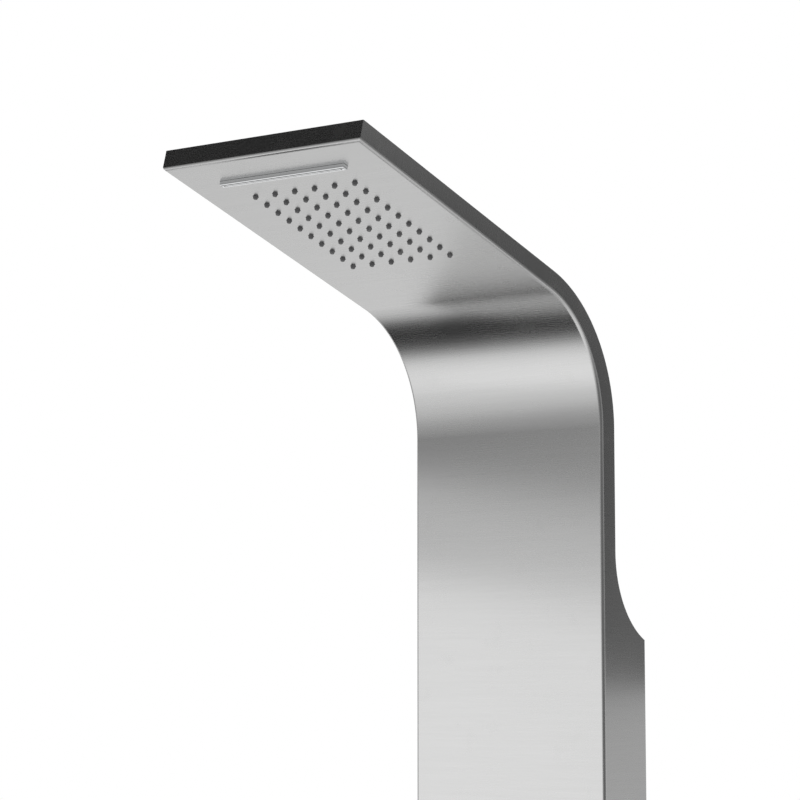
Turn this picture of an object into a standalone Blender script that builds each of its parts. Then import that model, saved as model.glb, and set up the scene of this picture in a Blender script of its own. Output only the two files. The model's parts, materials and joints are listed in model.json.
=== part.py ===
"""A wall-hung rainfall shower column: a bent steel panel with a rain and waterfall head, and a thermostatic valve.

Frame: +Z is up, +Y points into the wall and the wall's face is y = 0. The origin is the centre of the upper wall
bracket's back face, the point that the whole column hangs from. Everything is in metres.
"""

import math

import bmesh
import bpy
from mathutils import Matrix, Vector

MM = 0.001

# The panel's outside
PANEL_WIDTH = 200 * MM
PANEL_HEIGHT = 1500 * MM
BODY_DEPTH = 73 * MM  # front face to the rear edges of the side flanges
NECK_DEPTH = 22 * MM
HEAD_SPARE = 1.5 * MM  # over the ferrules, which the head is just deep enough to hold
BEND_RADIUS = 116 * MM  # of the front face, where it turns into the head's underside
HEAD_TILT = math.radians(15.7)  # the head rises towards its tip
ARM_LENGTH = 296 * MM  # flat underside, from the bend to the tip
NECK_LENGTH = 110 * MM  # straight neck, from the bend down to the flare
FLARE_RADIUS = 84 * MM  # the side flange's sweep from the neck out to the wall
BODY_TOP_TO_HOOK = 62 * MM  # from the flare's corner down to the upper bracket's centre
WALL_GAP = 1 * MM
SHEET = 1.2 * MM
FOLD_RADIUS = 3.2 * MM  # outside radius of every fold
BEND_STEPS = 16
FLARE_STEPS = 8
GAP = 0.3 * MM  # between pieces that touch on the real column

# The rain grid and its chamber, in the head's own frame: y is the distance back from the tip
NOZZLES_ACROSS = 6
NOZZLES_ALONG = 10
NOZZLE_PITCH_ACROSS = 20.3 * MM
NOZZLE_PITCH_ALONG = 16 * MM
FIRST_ROW = 64.3 * MM
NOZZLE_DIAMETER = 4.6 * MM
NOZZLE_TIP_DIAMETER = 3.4 * MM
NOZZLE_DROP = 2.4 * MM  # how far a nozzle stands out of the panel
NOZZLE_SIDES = 8
MAT_THICKNESS = 1.6 * MM
CHAMBER_MARGIN = 11 * MM  # from the outer nozzles to the chamber's outside
CHAMBER_WALL = 2 * MM
CHAMBER_CLEARANCE = 2.4 * MM  # from the chambers to the cover
EAR_SIZE = 11 * MM
EAR_THICKNESS = 2.2 * MM
EAR_HEIGHT = 6 * MM
BOSS_RADIUS = 4 * MM

# The waterfall outlet
SPOUT_LENGTH = 126 * MM
SPOUT_WIDTH = 5.8 * MM
SPOUT_DROP = 4 * MM
SPOUT_START = 31 * MM  # tip to the bar's front wall
SPOUT_EDGE = 1.7 * MM  # radius of the bar's lower edges
SLOT_WIDTH = 0.8 * MM
SLOT_LENGTH = 119 * MM
SLOT_END_RADIUS = 0.7 * MM
FLANGE_THICKNESS = 1.6 * MM  # of the bar's flange, behind the panel
FALL_HALF = 86 * MM
FALL_FRONT = 14 * MM
FALL_BACK = 46 * MM

# The cover and its fixing tabs
COVER_LIP = 5 * MM
COVER_FOLD = 1.8 * MM
TAB_WIDTH = 16 * MM
TAB_THICKNESS = 2 * MM
TAB_REACH = 11.5 * MM  # inwards from the cover's edge
TAB_FOOT = 5 * MM
COVER_SCREW_INSET = 6.2 * MM  # from the cover's edge
HEAD_TAB_BACK = 26 * MM  # from the bend towards the tip
NECK_TAB_UP = 40 * MM  # from the neck's foot

# Hoses
HOSE_DIAMETER = 11 * MM
HOSE_CLEARANCE = 0.7 * MM  # from the ferrules to the sheet
HOSE_STEP = 30 * MM
RAIN_HOSE_X = -30 * MM
WATERFALL_HOSE_X = 80 * MM
SPIGOT_RADIUS = 3.4 * MM
SPIGOT_LENGTH = 14 * MM
FERRULE_LENGTH = 17 * MM
FERRULE_WALL = 0.9 * MM
HOSE_NUT_LENGTH = 9 * MM

# Controls
CONTROL_HEIGHT = 400 * MM  # temperature knob above the panel's bottom
CONTROL_SPACING = 130 * MM
KNOB_RADIUS = 24 * MM
KNOB_START = 4 * MM
KNOB_LENGTH = 30 * MM
KNOB_WALL = 2.8 * MM
HUB_RADIUS = 8 * MM
SPINDLE_RADIUS = 3.9 * MM
CARTRIDGE_RADIUS = 11.2 * MM
CARTRIDGE_DEPTH = 34 * MM  # behind the panel's front face
CARTRIDGE_FRONT = 10 * MM
SPINDLE_FOOT = -10 * MM
SPINDLE_TOP = 26.7 * MM
SCREW_BORE = 2.3 * MM
CAP_RADIUS = 10 * MM
CAP_RECESS = 2 * MM
COLLAR_RADIUS = 15 * MM
COLLAR_REACH = 8 * MM  # how far the valve's threaded collars stand out of the panel
NUT_RADIUS = 20.4 * MM
NUT_HEIGHT = 5 * MM
TRIM_RADIUS = 32 * MM
TRIM_HEIGHT = 3 * MM
LEVER_RADIUS = 2.8 * MM
LEVER_REACH = 12 * MM
LEVER_RISE = 15 * MM  # from the knob's rear edge
BUTTON_RADIUS = 4 * MM
BUTTON_PROUD = 2.2 * MM
BUTTON_RISE = 14.5 * MM  # from the knob's rear edge
SPRING_TURNS = 4
SPRING_RADIUS = 2.6 * MM
SPRING_WIRE = 0.6 * MM
SPRING_STEPS = 10
RUNNING = 0.3 * MM  # clearance around what turns or slides

# Valve body
HOUSING_RADIUS = 23 * MM
HOUSING_BACK = 46 * MM  # behind the panel's front face
PORT_DEPTH = 30 * MM  # of the pipes' middle, behind the front face
INLET_SPACING = 75 * MM
INLET_RADIUS = 10.4 * MM
INLET_BORE = 7 * MM
INLET_DROP = 44 * MM
OUTLET_X = 30 * MM
OUTLET_RADIUS = 8.2 * MM
OUTLET_BORE = 4.5 * MM
OUTLET_RISE = 40 * MM

# Hanging hardware
BRACKET_WIDTH = 120 * MM
BRACKET_DROP = 25 * MM
PLATE = 2 * MM
HOOK_REACH = 10 * MM
HOOK_SHELF = 15 * MM
HOOK_LIP = 29 * MM
LOWER_BRACKET_HEIGHT = 150 * MM
WALL_SCREW_RADIUS = 3 * MM
WALL_SCREW_X = 45 * MM

# What follows from those sizes
KNOB_FRONT = KNOB_START + KNOB_LENGTH
FERRULE_RADIUS = HOSE_DIAMETER / 2 + GAP + FERRULE_WALL
HOSE_OFFSET = SHEET + HOSE_CLEARANCE + FERRULE_RADIUS  # from the front face or underside to the hose's middle
HEAD_DEPTH = HOSE_OFFSET + FERRULE_RADIUS + HEAD_SPARE + SHEET
CHAMBER_TOP = HEAD_DEPTH - SHEET - CHAMBER_CLEARANCE
HALF_WIDTH = PANEL_WIDTH / 2
BEND_ANGLE = math.pi / 2 - HEAD_TILT
FRONT_Y = -(BODY_DEPTH + WALL_GAP)
FLARE_SWEEP = math.acos(1 - (BODY_DEPTH - NECK_DEPTH) / FLARE_RADIUS)
BODY_TOP_Z = BODY_TOP_TO_HOOK
NECK_FOOT_Z = BODY_TOP_Z + FLARE_RADIUS * math.sin(FLARE_SWEEP)
BEND_Z = NECK_FOOT_Z + NECK_LENGTH
ARM_AXIS = Vector((0, -math.sin(BEND_ANGLE), math.cos(BEND_ANGLE)))
HEAD_UP = Vector((0, math.cos(BEND_ANGLE), math.sin(BEND_ANGLE)))
BEND_CENTRE = Vector((0, FRONT_Y - BEND_RADIUS, BEND_Z))
ARM_ROOT = BEND_CENTRE + BEND_RADIUS * HEAD_UP
TIP = ARM_ROOT + ARM_LENGTH * ARM_AXIS
PANEL_TOP_Z = (TIP + HEAD_DEPTH * HEAD_UP).z
PANEL_BOTTOM_Z = PANEL_TOP_Z - PANEL_HEIGHT
TEMPERATURE_Z = PANEL_BOTTOM_Z + CONTROL_HEIGHT
DIVERTER_Z = TEMPERATURE_Z + CONTROL_SPACING
LOWER_BRACKET_Z = PANEL_BOTTOM_Z + LOWER_BRACKET_HEIGHT
GRID_WIDTH = (NOZZLES_ACROSS - 1) * NOZZLE_PITCH_ACROSS
GRID_LENGTH = (NOZZLES_ALONG - 1) * NOZZLE_PITCH_ALONG
CHAMBER_HALF = GRID_WIDTH / 2 + CHAMBER_MARGIN
CHAMBER_FRONT = FIRST_ROW - CHAMBER_MARGIN
CHAMBER_BACK = FIRST_ROW + GRID_LENGTH + CHAMBER_MARGIN
MAT_BOTTOM = SHEET + GAP
MAT_TOP = MAT_BOTTOM + MAT_THICKNESS
CHAMBER_BOTTOM = MAT_TOP + GAP
INSIDE_HALF = HALF_WIDTH - SHEET - GAP


def clear_scene():
    for old in list(bpy.data.objects):
        bpy.data.objects.remove(old, do_unlink=True)


def new_collection(name):
    collection = bpy.data.collections.new(name)
    bpy.context.scene.collection.children.link(collection)
    return collection


clear_scene()
COLUMN = new_collection("rainfall_shower_column")
CUTTERS = new_collection("cutters")
CUTTERS.hide_render = True


def material(name, colour, roughness, metallic=1.0):
    made = bpy.data.materials.new(name)
    made.use_nodes = True
    shader = made.node_tree.nodes["Principled BSDF"]
    shader.inputs["Base Color"].default_value = (*colour, 1)
    shader.inputs["Roughness"].default_value = roughness
    shader.inputs["Metallic"].default_value = metallic
    return made


STEEL = material("brushed_steel", (0.62, 0.61, 0.59), 0.32)
CHROME = material("chrome", (0.86, 0.87, 0.88), 0.06)
BRASS = material("brass", (0.72, 0.55, 0.28), 0.3)
ZINC = material("zinc_plated_steel", (0.6, 0.61, 0.62), 0.42)
SILICONE = material("silicone", (0.11, 0.11, 0.11), 0.55, 0)
PLASTIC = material("white_plastic", (0.75, 0.75, 0.73), 0.45, 0)
BLACK_PLASTIC = material("black_plastic", (0.04, 0.04, 0.04), 0.4, 0)
BRAID = material("braided_hose", (0.55, 0.56, 0.58), 0.38)
RED = material("red_plastic", (0.6, 0.05, 0.04), 0.35, 0)


# Building blocks


def empty(name, location, rotation=(0, 0, 0)):
    made = bpy.data.objects.new(name, None)
    made.location = location
    made.rotation_euler = rotation
    COLUMN.objects.link(made)
    return made


def place(name, mesh, finish, parent=None, location=(0, 0, 0), rotation=(0, 0, 0)):
    """One named piece. With no finish it is a cutter, which the model leaves out."""
    made = bpy.data.objects.new(name, mesh)
    made.parent = parent
    made.location = location
    made.rotation_euler = rotation
    if finish:
        mesh.materials.append(finish)
        COLUMN.objects.link(made)
        mesh.shade_smooth()
        mesh.set_sharp_from_angle(angle=math.radians(35))
    else:
        CUTTERS.objects.link(made)
        made.hide_render = True
        made.display_type = "WIRE"
    return made


def mesh_of(build, name="shape"):
    """A mesh that the function build fills in."""
    shape = bmesh.new()
    build(shape)
    bmesh.ops.recalc_face_normals(shape, faces=shape.faces)
    mesh = bpy.data.meshes.new(name)
    shape.to_mesh(mesh)
    shape.free()
    return mesh


def add_box(shape, low, high):
    low, high = Vector(low), Vector(high)
    middle = Matrix.Translation((low + high) / 2)
    bmesh.ops.create_cube(shape, size=1, matrix=middle @ Matrix.Diagonal((*(high - low), 1)))


def box(low, high):
    return mesh_of(lambda shape: add_box(shape, low, high))


def add_cylinder(shape, radius, start, end, sides, end_radius=None):
    """A cylinder, or a cone, from the point start to the point end."""
    start, end = Vector(start), Vector(end)
    along = end - start
    turn = Vector((0, 0, 1)).rotation_difference(along).to_matrix().to_4x4()
    bmesh.ops.create_cone(
        shape,
        cap_ends=True,
        segments=sides,
        radius1=radius,
        radius2=radius if end_radius is None else end_radius,
        depth=along.length,
        matrix=Matrix.Translation((start + end) / 2) @ turn,
    )


def cylinder(radius, start, end, sides=24, end_radius=None):
    return mesh_of(lambda shape: add_cylinder(shape, radius, start, end, sides, end_radius))


def turned(name, profile, finish, parent, steps=24, location=(0, 0, 0), rotation=(0, 0, 0)):
    """A shape turned about its local Z from (radius, height) points, which run down the outer side and back up."""
    mesh = bpy.data.meshes.new(name)
    points = [(radius, 0, height) for radius, height in profile]
    count = len(points)
    on_axis = profile[0][0] == 0 and profile[-1][0] == 0
    edges = [(i, (i + 1) % count) for i in range(count - on_axis)]
    mesh.from_pydata(points, edges, [])
    made = place(name, mesh, finish, parent, location, rotation)
    screw = made.modifiers.new("turn", "SCREW")
    screw.steps = screw.render_steps = steps
    screw.use_merge_vertices = True
    screw.merge_threshold = 0.00001
    return made


def cut(target, tool, operation="DIFFERENCE"):
    boolean = target.modifiers.new(tool.name, "BOOLEAN")
    boolean.operation = operation
    boolean.object = tool
    boolean.solver = "EXACT"


def cutter(mesh, parent=None):
    return place("cutter", mesh, None, parent)


def extruded(outline, low_x, high_x):
    """A prism along X from a (y, z) outline."""

    def build(shape):
        rows = [[shape.verts.new((x, y, z)) for y, z in outline] for x in (low_x, high_x)]
        for row in rows:
            shape.faces.new(row)
        for i in range(len(outline)):
            j = (i + 1) % len(outline)
            shape.faces.new((rows[0][i], rows[0][j], rows[1][j], rows[1][i]))

    return mesh_of(build)


# The column's side profile, as (y, z) points


def depth_at(turned_by):
    """Distance from the front face to the flanges' rear edges, part of the way round the bend."""
    share = max(0.0, min(1.0, turned_by / BEND_ANGLE))
    eased = share * share * (3 - 2 * share)
    return NECK_DEPTH + (HEAD_DEPTH - NECK_DEPTH) * eased


def bend_point(turned_by, offset):
    """A point on the bend, offset behind the front face."""
    away = Vector((0, math.cos(turned_by), math.sin(turned_by)))
    return BEND_CENTRE + (BEND_RADIUS + offset) * away


def front_path():
    """The front face from the bottom, round the bend and out to the tip."""
    bend = [bend_point(BEND_ANGLE * i / BEND_STEPS, 0) for i in range(BEND_STEPS + 1)]
    return [(FRONT_Y, PANEL_BOTTOM_Z)] + [(p.y, p.z) for p in bend] + [(TIP.y, TIP.z)]


def back_path(inset=0.0, tip_inset=0.0):
    """The flanges' rear edge from the tip to the neck's foot, inset from it."""
    tip = TIP + (HEAD_DEPTH - inset) * HEAD_UP - tip_inset * ARM_AXIS
    turns = [BEND_ANGLE * i / BEND_STEPS for i in range(BEND_STEPS, -1, -1)]
    bend = [bend_point(turn, depth_at(turn) - inset) for turn in turns]
    foot = (FRONT_Y + NECK_DEPTH - inset, NECK_FOOT_Z)
    return [(tip.y, tip.z)] + [(p.y, p.z) for p in bend] + [foot]


def flare_path(inset=0.0):
    """The flanges' sweep from the neck out to the wall, inset from their edge."""
    radius = FLARE_RADIUS + inset
    points = []
    for i in range(1, FLARE_STEPS + 1):
        swept = FLARE_SWEEP * i / FLARE_STEPS
        y = FRONT_Y + NECK_DEPTH + FLARE_RADIUS - radius * math.cos(swept)
        points.append((y, NECK_FOOT_Z - radius * math.sin(swept)))
    return points


# The sheet-metal shell


def head_point(x, y, z):
    """A point of the head's own frame, whose y runs back from the tip, in the column's frame."""
    return TIP - y * ARM_AXIS + z * HEAD_UP + Vector((x, 0, 0))


def shell_mesh():
    """The folded sheet's outer surface, open along the flanges' rear edge."""
    folded = front_path()
    outline = folded + back_path() + flare_path() + [(FRONT_Y + BODY_DEPTH, PANEL_BOTTOM_Z)]
    last = len(outline) - 1

    def build(shape):
        left, right = [[shape.verts.new((x, y, z)) for y, z in outline] for x in (-HALF_WIDTH, HALF_WIDTH)]
        shape.faces.new(left)
        shape.faces.new(right)
        for i in [*range(len(folded)), last]:
            j = (i + 1) % len(outline)
            shape.faces.new((left[i], left[j], right[j], right[i]))
        bmesh.ops.recalc_face_normals(shape, faces=shape.faces)
        face_corners = set(left[: len(folded)] + right[: len(folded)])
        folds = [edge for edge in shape.edges if face_corners.issuperset(edge.verts)]
        folds = [edge for edge in folds if edge.calc_face_angle(0) > math.radians(30)]
        bmesh.ops.bevel(
            shape,
            geom=folds,
            offset=FOLD_RADIUS,
            offset_type="OFFSET",
            segments=3,
            profile=0.5,
            affect="EDGES",
            clamp_overlap=True,
        )

    return mesh_of(build)


def nozzle_places():
    for row in range(NOZZLES_ALONG):
        for column in range(NOZZLES_ACROSS):
            x = (column - (NOZZLES_ACROSS - 1) / 2) * NOZZLE_PITCH_ACROSS
            yield x, FIRST_ROW + row * NOZZLE_PITCH_ALONG


def ears(half, front, back, inset):
    """Where a chamber is screwed down: two places along each side."""
    across = half + EAR_SIZE / 2 - CHAMBER_WALL / 2
    return [(x, y) for x in (-across, across) for y in (front + inset, back - inset)]


RAIN_EARS = ears(CHAMBER_HALF, CHAMBER_FRONT, CHAMBER_BACK, 20 * MM)
FALL_EARS = ears(FALL_HALF, FALL_FRONT, FALL_BACK, 7.5 * MM)


def panel_shell(head):
    shell = place("panel_shell", shell_mesh(), STEEL)
    sheet = shell.modifiers.new("sheet", "SOLIDIFY")
    sheet.thickness = SHEET
    sheet.offset = -1
    sheet.use_even_offset = True
    boss_top = EAR_HEIGHT - GAP

    def bosses(shape):
        for x, y in RAIN_EARS + FALL_EARS:
            add_cylinder(shape, BOSS_RADIUS, (x, y, SHEET / 2), (x, y, boss_top), 10)

    def boss_holes(shape):
        for x, y in RAIN_EARS + FALL_EARS:
            add_cylinder(shape, 2.1 * MM, (x, y, SHEET), (x, y, boss_top + MM), 8)

    def nozzle_holes(shape):
        for x, y in nozzle_places():
            add_cylinder(shape, NOZZLE_DIAMETER / 2 + GAP, (x, y, -MM), (x, y, 2 * SHEET), NOZZLE_SIDES)

    def spout_window(shape):
        half = SPOUT_LENGTH / 2 + GAP
        start, end = SPOUT_START - GAP, SPOUT_START + SPOUT_WIDTH + GAP
        add_box(shape, (-half, start, -MM), (half, end, 2 * SHEET))

    def control_holes(shape):
        for z in (TEMPERATURE_Z, DIVERTER_Z):
            start = (0, FRONT_Y - MM, z)
            add_cylinder(shape, COLLAR_RADIUS + RUNNING, start, (0, FRONT_Y + 2 * SHEET, z), 24)

    cut(shell, cutter(mesh_of(bosses), head), "UNION")
    cut(shell, cutter(mesh_of(boss_holes), head))
    cut(shell, cutter(mesh_of(nozzle_holes), head))
    cut(shell, cutter(mesh_of(spout_window), head))
    cut(shell, cutter(mesh_of(control_holes)))


def cover_mesh():
    """The cover's outer surface: the flat top and the lips turned down along both sides."""
    tip_inset = SHEET + GAP
    top = back_path(0, tip_inset) + flare_path()
    lip = back_path(COVER_LIP, tip_inset) + flare_path(COVER_LIP)
    across = [(-INSIDE_HALF, lip), (-INSIDE_HALF, top), (INSIDE_HALF, top), (INSIDE_HALF, lip)]

    def build(shape):
        rows = [[shape.verts.new((x, y, z)) for y, z in path] for x, path in across]
        for one, other in zip(rows, rows[1:]):
            for i in range(len(one) - 1):
                shape.faces.new((one[i], one[i + 1], other[i + 1], other[i]))
        folds = [edge for edge in shape.edges if len(edge.link_faces) == 2]
        folds = [edge for edge in folds if edge.calc_face_angle() > math.radians(30)]
        bmesh.ops.bevel(
            shape,
            geom=folds,
            offset=COVER_FOLD,
            offset_type="OFFSET",
            segments=2,
            profile=0.5,
            affect="EDGES",
        )

    return mesh_of(build)


def top_cover(head, neck):
    """The inset tray that closes the head, the neck and the flare, with a lip turned down along both sides."""
    cover = place("head_top_cover", cover_mesh(), STEEL)
    sheet = cover.modifiers.new("sheet", "SOLIDIFY")
    sheet.thickness = SHEET
    sheet.offset = -1
    sheet.use_even_offset = True
    head_y = ARM_LENGTH - HEAD_TAB_BACK

    def holes(shape):
        for x in (COVER_SCREW_INSET - INSIDE_HALF, INSIDE_HALF - COVER_SCREW_INSET):
            for start, end in cover_screw_axes(x, head_y, 2 * SHEET + TAB_THICKNESS):
                add_cylinder(shape, 2 * MM, start, end, 10)

    drill = cutter(mesh_of(holes))
    cut(cover, drill)
    for side, word in ((-1, "left"), (1, "right")):
        x = side * (INSIDE_HALF - COVER_SCREW_INSET)
        for place_name, parent, depth, y in (("head", head, HEAD_DEPTH, head_y), ("neck", neck, NECK_DEPTH, 0)):
            tab = cover_tab(f"{place_name}_cover_tab_{word}", parent, depth, y, side)
            cut(tab, drill)
            seat = (x, y, depth + GAP / 2)
            screw(f"{place_name}_cover_screw_{word}", parent, seat, 1.7 * MM, 6 * MM, 3.4 * MM, 1.4 * MM)


def cover_screw_axes(x, head_y, reach):
    yield head_point(x, head_y, HEAD_DEPTH + MM), head_point(x, head_y, HEAD_DEPTH - reach - MM)
    y, z = FRONT_Y + NECK_DEPTH, NECK_FOOT_Z + NECK_TAB_UP
    yield Vector((x, y + MM, z)), Vector((x, y - reach - MM, z))


def cover_tab(name, parent, depth, y, side):
    """A tab that a cover screw bites in, with a foot turned out to the flange below the cover's lip."""
    top = depth - SHEET - GAP
    under = top - TAB_THICKNESS
    leg = INSIDE_HALF - SHEET - GAP
    inner = INSIDE_HALF - TAB_REACH
    foot_top = depth - COVER_LIP - GAP
    foot = foot_top - TAB_FOOT
    section = [
        (leg, top),
        (leg, foot_top),
        (INSIDE_HALF, foot_top),
        (INSIDE_HALF, foot),
        (leg - TAB_THICKNESS, foot),
        (leg - TAB_THICKNESS, under),
        (inner, under),
        (inner, top),
    ]
    tab = extruded([(-side * x, z) for x, z in section], -TAB_WIDTH / 2, TAB_WIDTH / 2)
    return place(name, tab, ZINC, parent, (0, y, 0), (0, 0, math.pi / 2))


def screw(name, parent, location, radius, length, head_radius, head_height, sides=12):
    """A pan-head screw whose head seats at its local z = 0 and whose shank runs down."""
    profile = [
        (0, head_height),
        (head_radius * 0.7, head_height),
        (head_radius, head_height * 0.45),
        (head_radius, 0),
        (radius, 0),
        (radius, -length),
        (0, -length),
    ]
    return turned(name, profile, ZINC, parent, sides, location)


# The rain head


def nozzle_mat(head):
    """One silicone moulding: a mat with a conical nozzle through every hole of the grid."""
    half = CHAMBER_HALF - MM
    low = (-half, CHAMBER_FRONT + MM, MAT_BOTTOM)
    mat = place("nozzle_mat", box(low, (half, CHAMBER_BACK - MM, MAT_TOP)), SILICONE, head)

    def cones(shape):
        for x, y in nozzle_places():
            top, tip = (x, y, MAT_BOTTOM + MAT_THICKNESS / 2), (x, y, -NOZZLE_DROP)
            add_cylinder(shape, NOZZLE_DIAMETER / 2, top, tip, NOZZLE_SIDES, NOZZLE_TIP_DIAMETER / 2)

    cut(mat, cutter(mesh_of(cones), head), "UNION")


def chamber(name, head, half, front, back, bottom, ears, spigot_x):
    """A moulded water chamber, open below, with a spigot at its back and an ear for every screw."""
    wall = CHAMBER_WALL
    made = place(name, box((-half, front, bottom), (half, back, CHAMBER_TOP)), PLASTIC, head)
    spigot_end = back + SPIGOT_LENGTH

    def additions(shape):
        for x, y in ears:
            reach = EAR_SIZE / 2
            add_box(shape, (x - reach, y - reach, EAR_HEIGHT), (x + reach, y + reach, EAR_HEIGHT + EAR_THICKNESS))

    def spigot(radius, start, end):
        return cylinder(radius, (spigot_x, start, HOSE_OFFSET), (spigot_x, end, HOSE_OFFSET), 12)

    def ear_holes(shape):
        for x, y in ears:
            add_cylinder(shape, 2.2 * MM, (x, y, EAR_HEIGHT - MM), (x, y, EAR_HEIGHT + EAR_THICKNESS + MM), 10)

    inside = box((wall - half, front + wall, bottom - MM), (half - wall, back - wall, CHAMBER_TOP - wall))
    cut(made, cutter(mesh_of(additions), head), "UNION")
    cut(made, cutter(spigot(SPIGOT_RADIUS, back - wall / 2, spigot_end), head), "UNION")
    cut(made, cutter(inside, head))
    cut(made, cutter(spigot(SPIGOT_RADIUS - MM, back - 2 * wall, spigot_end + MM), head))
    cut(made, cutter(mesh_of(ear_holes), head))
    for number, (x, y) in enumerate(ears, 1):
        seat = (x, y, EAR_HEIGHT + EAR_THICKNESS + GAP)
        screw(f"{name}_screw_{number}", head, seat, 1.7 * MM, 5.5 * MM, 3.5 * MM, 1.8 * MM)


def chambers(head):
    chamber("rain_chamber", head, CHAMBER_HALF, CHAMBER_FRONT, CHAMBER_BACK, CHAMBER_BOTTOM, RAIN_EARS, RAIN_HOSE_X)
    bottom = SHEET + GAP + FLANGE_THICKNESS + GAP
    chamber("waterfall_chamber", head, FALL_HALF, FALL_FRONT, FALL_BACK, bottom, FALL_EARS, WATERFALL_HOSE_X)


def waterfall_spout(head):
    """The chrome bar that stands out of the underside, with its slot and the flange behind the panel."""
    half, flange_bottom = SPOUT_LENGTH / 2, SHEET + GAP
    start, end = SPOUT_START, SPOUT_START + SPOUT_WIDTH

    def bar(shape):
        add_box(shape, (-half, start, -SPOUT_DROP), (half, end, flange_bottom + FLANGE_THICKNESS / 2))
        low = [edge for edge in shape.edges if all(v.co.z < 0 for v in edge.verts)]
        bmesh.ops.bevel(
            shape,
            geom=low,
            offset=SPOUT_EDGE,
            offset_type="OFFSET",
            segments=2,
            profile=0.5,
            affect="EDGES",
        )

    spout = place("waterfall_spout", mesh_of(bar), CHROME, head)
    flange = box(
        (MM - FALL_HALF, FALL_FRONT + MM, flange_bottom),
        (FALL_HALF - MM, FALL_BACK - MM, flange_bottom + FLANGE_THICKNESS),
    )
    middle = SPOUT_START + SPOUT_WIDTH / 2
    bottom, top = -SPOUT_DROP - MM, flange_bottom + 2 * FLANGE_THICKNESS
    reach = SLOT_LENGTH / 2
    slot = box((-reach, middle - SLOT_WIDTH / 2, bottom), (reach, middle + SLOT_WIDTH / 2, top))

    def slot_ends(shape):
        for x in (-reach, reach):
            add_cylinder(shape, SLOT_END_RADIUS, (x, middle, bottom), (x, middle, top), 10)

    cut(spout, cutter(flange, head), "UNION")
    cut(spout, cutter(slot, head))
    cut(spout, cutter(mesh_of(slot_ends), head))


# Hoses


def route_curve(points, step):
    """Points a step apart on the smooth curve through a route's own points."""
    padded = [points[0] * 2 - points[1], *points, points[-1] * 2 - points[-2]]
    fine = []
    for before, start, end, after in zip(padded, padded[1:], padded[2:], padded[3:]):
        for i in range(16):
            t = i / 16
            fine.append(
                0.5
                * (
                    2 * start
                    + (end - before) * t
                    + (2 * before - 5 * start + 4 * end - after) * t * t
                    + (3 * start - before - 3 * end + after) * t**3
                )
            )
    fine.append(points[-1])
    run = [0.0]
    for a, b in zip(fine, fine[1:]):
        run.append(run[-1] + (b - a).length)
    count = max(2, round(run[-1] / step))
    chosen, k = [], 0
    for i in range(count + 1):
        target = run[-1] * i / count
        while k < len(run) - 2 and run[k + 1] < target:
            k += 1
        share = (target - run[k]) / (run[k + 1] - run[k])
        chosen.append(fine[k].lerp(fine[k + 1], min(1.0, share)))
    return chosen


def hose_route(start, x, end_y):
    """From an outlet's top, up the body, along the neck and round the bend, to end_y in the head."""
    neck_y = FRONT_Y + HOSE_OFFSET
    climb = NECK_FOOT_Z - start.z
    drift = Vector((x - start.x, neck_y - start.y, 0))
    points = [start, start + Vector((0, 0, 30 * MM))]
    for share in (0.2, 0.35, 0.5, 0.65, 0.8):
        eased = share * share * (3 - 2 * share)
        points.append(start + drift * eased + Vector((0, 0, climb * share)))
    points += [Vector((x, neck_y, z)) for z in (NECK_FOOT_Z, NECK_FOOT_Z + NECK_LENGTH * 0.6)]
    for i in range(5):
        point = bend_point(BEND_ANGLE * i / 4, HOSE_OFFSET)
        points.append(Vector((x, point.y, point.z)))
    run = ARM_LENGTH - end_y
    points += [head_point(x, ARM_LENGTH - run * share, HOSE_OFFSET) for share in (0.4, 1)]
    return points


def hose(name, start, x, end_y):
    curve = bpy.data.curves.new(name, "CURVE")
    curve.dimensions = "3D"
    curve.bevel_depth = HOSE_DIAMETER / 2
    curve.bevel_resolution = 2
    curve.use_fill_caps = True
    points = route_curve(hose_route(start, x, end_y), HOSE_STEP)
    spline = curve.splines.new("POLY")
    spline.points.add(len(points) - 1)
    for slot, point in zip(spline.points, points):
        slot.co = (*point, 1)
    curve.materials.append(BRAID)
    made = bpy.data.objects.new(name, curve)
    COLUMN.objects.link(made)


def tube(name, parent, location, rotation, inner, outer, length, finish, sides=16):
    """A plain sleeve that starts at location and runs along its local Z."""
    profile = [(outer, length), (outer, 0), (inner, 0), (inner, length)]
    return turned(name, profile, finish, parent, sides, location, rotation)


def hose_with_ends(word, outlet_x, x, spigot_end, head):
    """A braided hose, the nut and ferrule at its valve end, and the ferrule on the head's spigot."""
    outlet_top = Vector((outlet_x, FRONT_Y + PORT_DEPTH, DIVERTER_Z + OUTLET_RISE))
    start = outlet_top + Vector((0, 0, GAP))
    hose(word + "_hose", start, x, spigot_end + GAP)
    nut_start = outlet_top - Vector((0, 0, HOSE_NUT_LENGTH))
    nut = place(word + "_hose_nut", cylinder(OUTLET_RADIUS + 4 * MM, nut_start, outlet_top, 6), BRASS)
    past = Vector((0, 0, MM))
    cut(nut, cutter(cylinder(OUTLET_RADIUS + GAP, nut_start - past, outlet_top + past, 16)))
    inner, outer = HOSE_DIAMETER / 2 + GAP, FERRULE_RADIUS
    lower = outlet_top + Vector((0, 0, 2 * GAP))
    tube(word + "_hose_lower_ferrule", None, lower, (0, 0, 0), inner, outer, FERRULE_LENGTH, ZINC)
    upper = (x, spigot_end, HOSE_OFFSET)
    back = (-math.pi / 2, 0, 0)
    tube(word + "_hose_upper_ferrule", head, upper, back, inner, outer, FERRULE_LENGTH, ZINC)


# The valve and its controls, each about an axis whose local Z comes out of the panel


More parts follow.
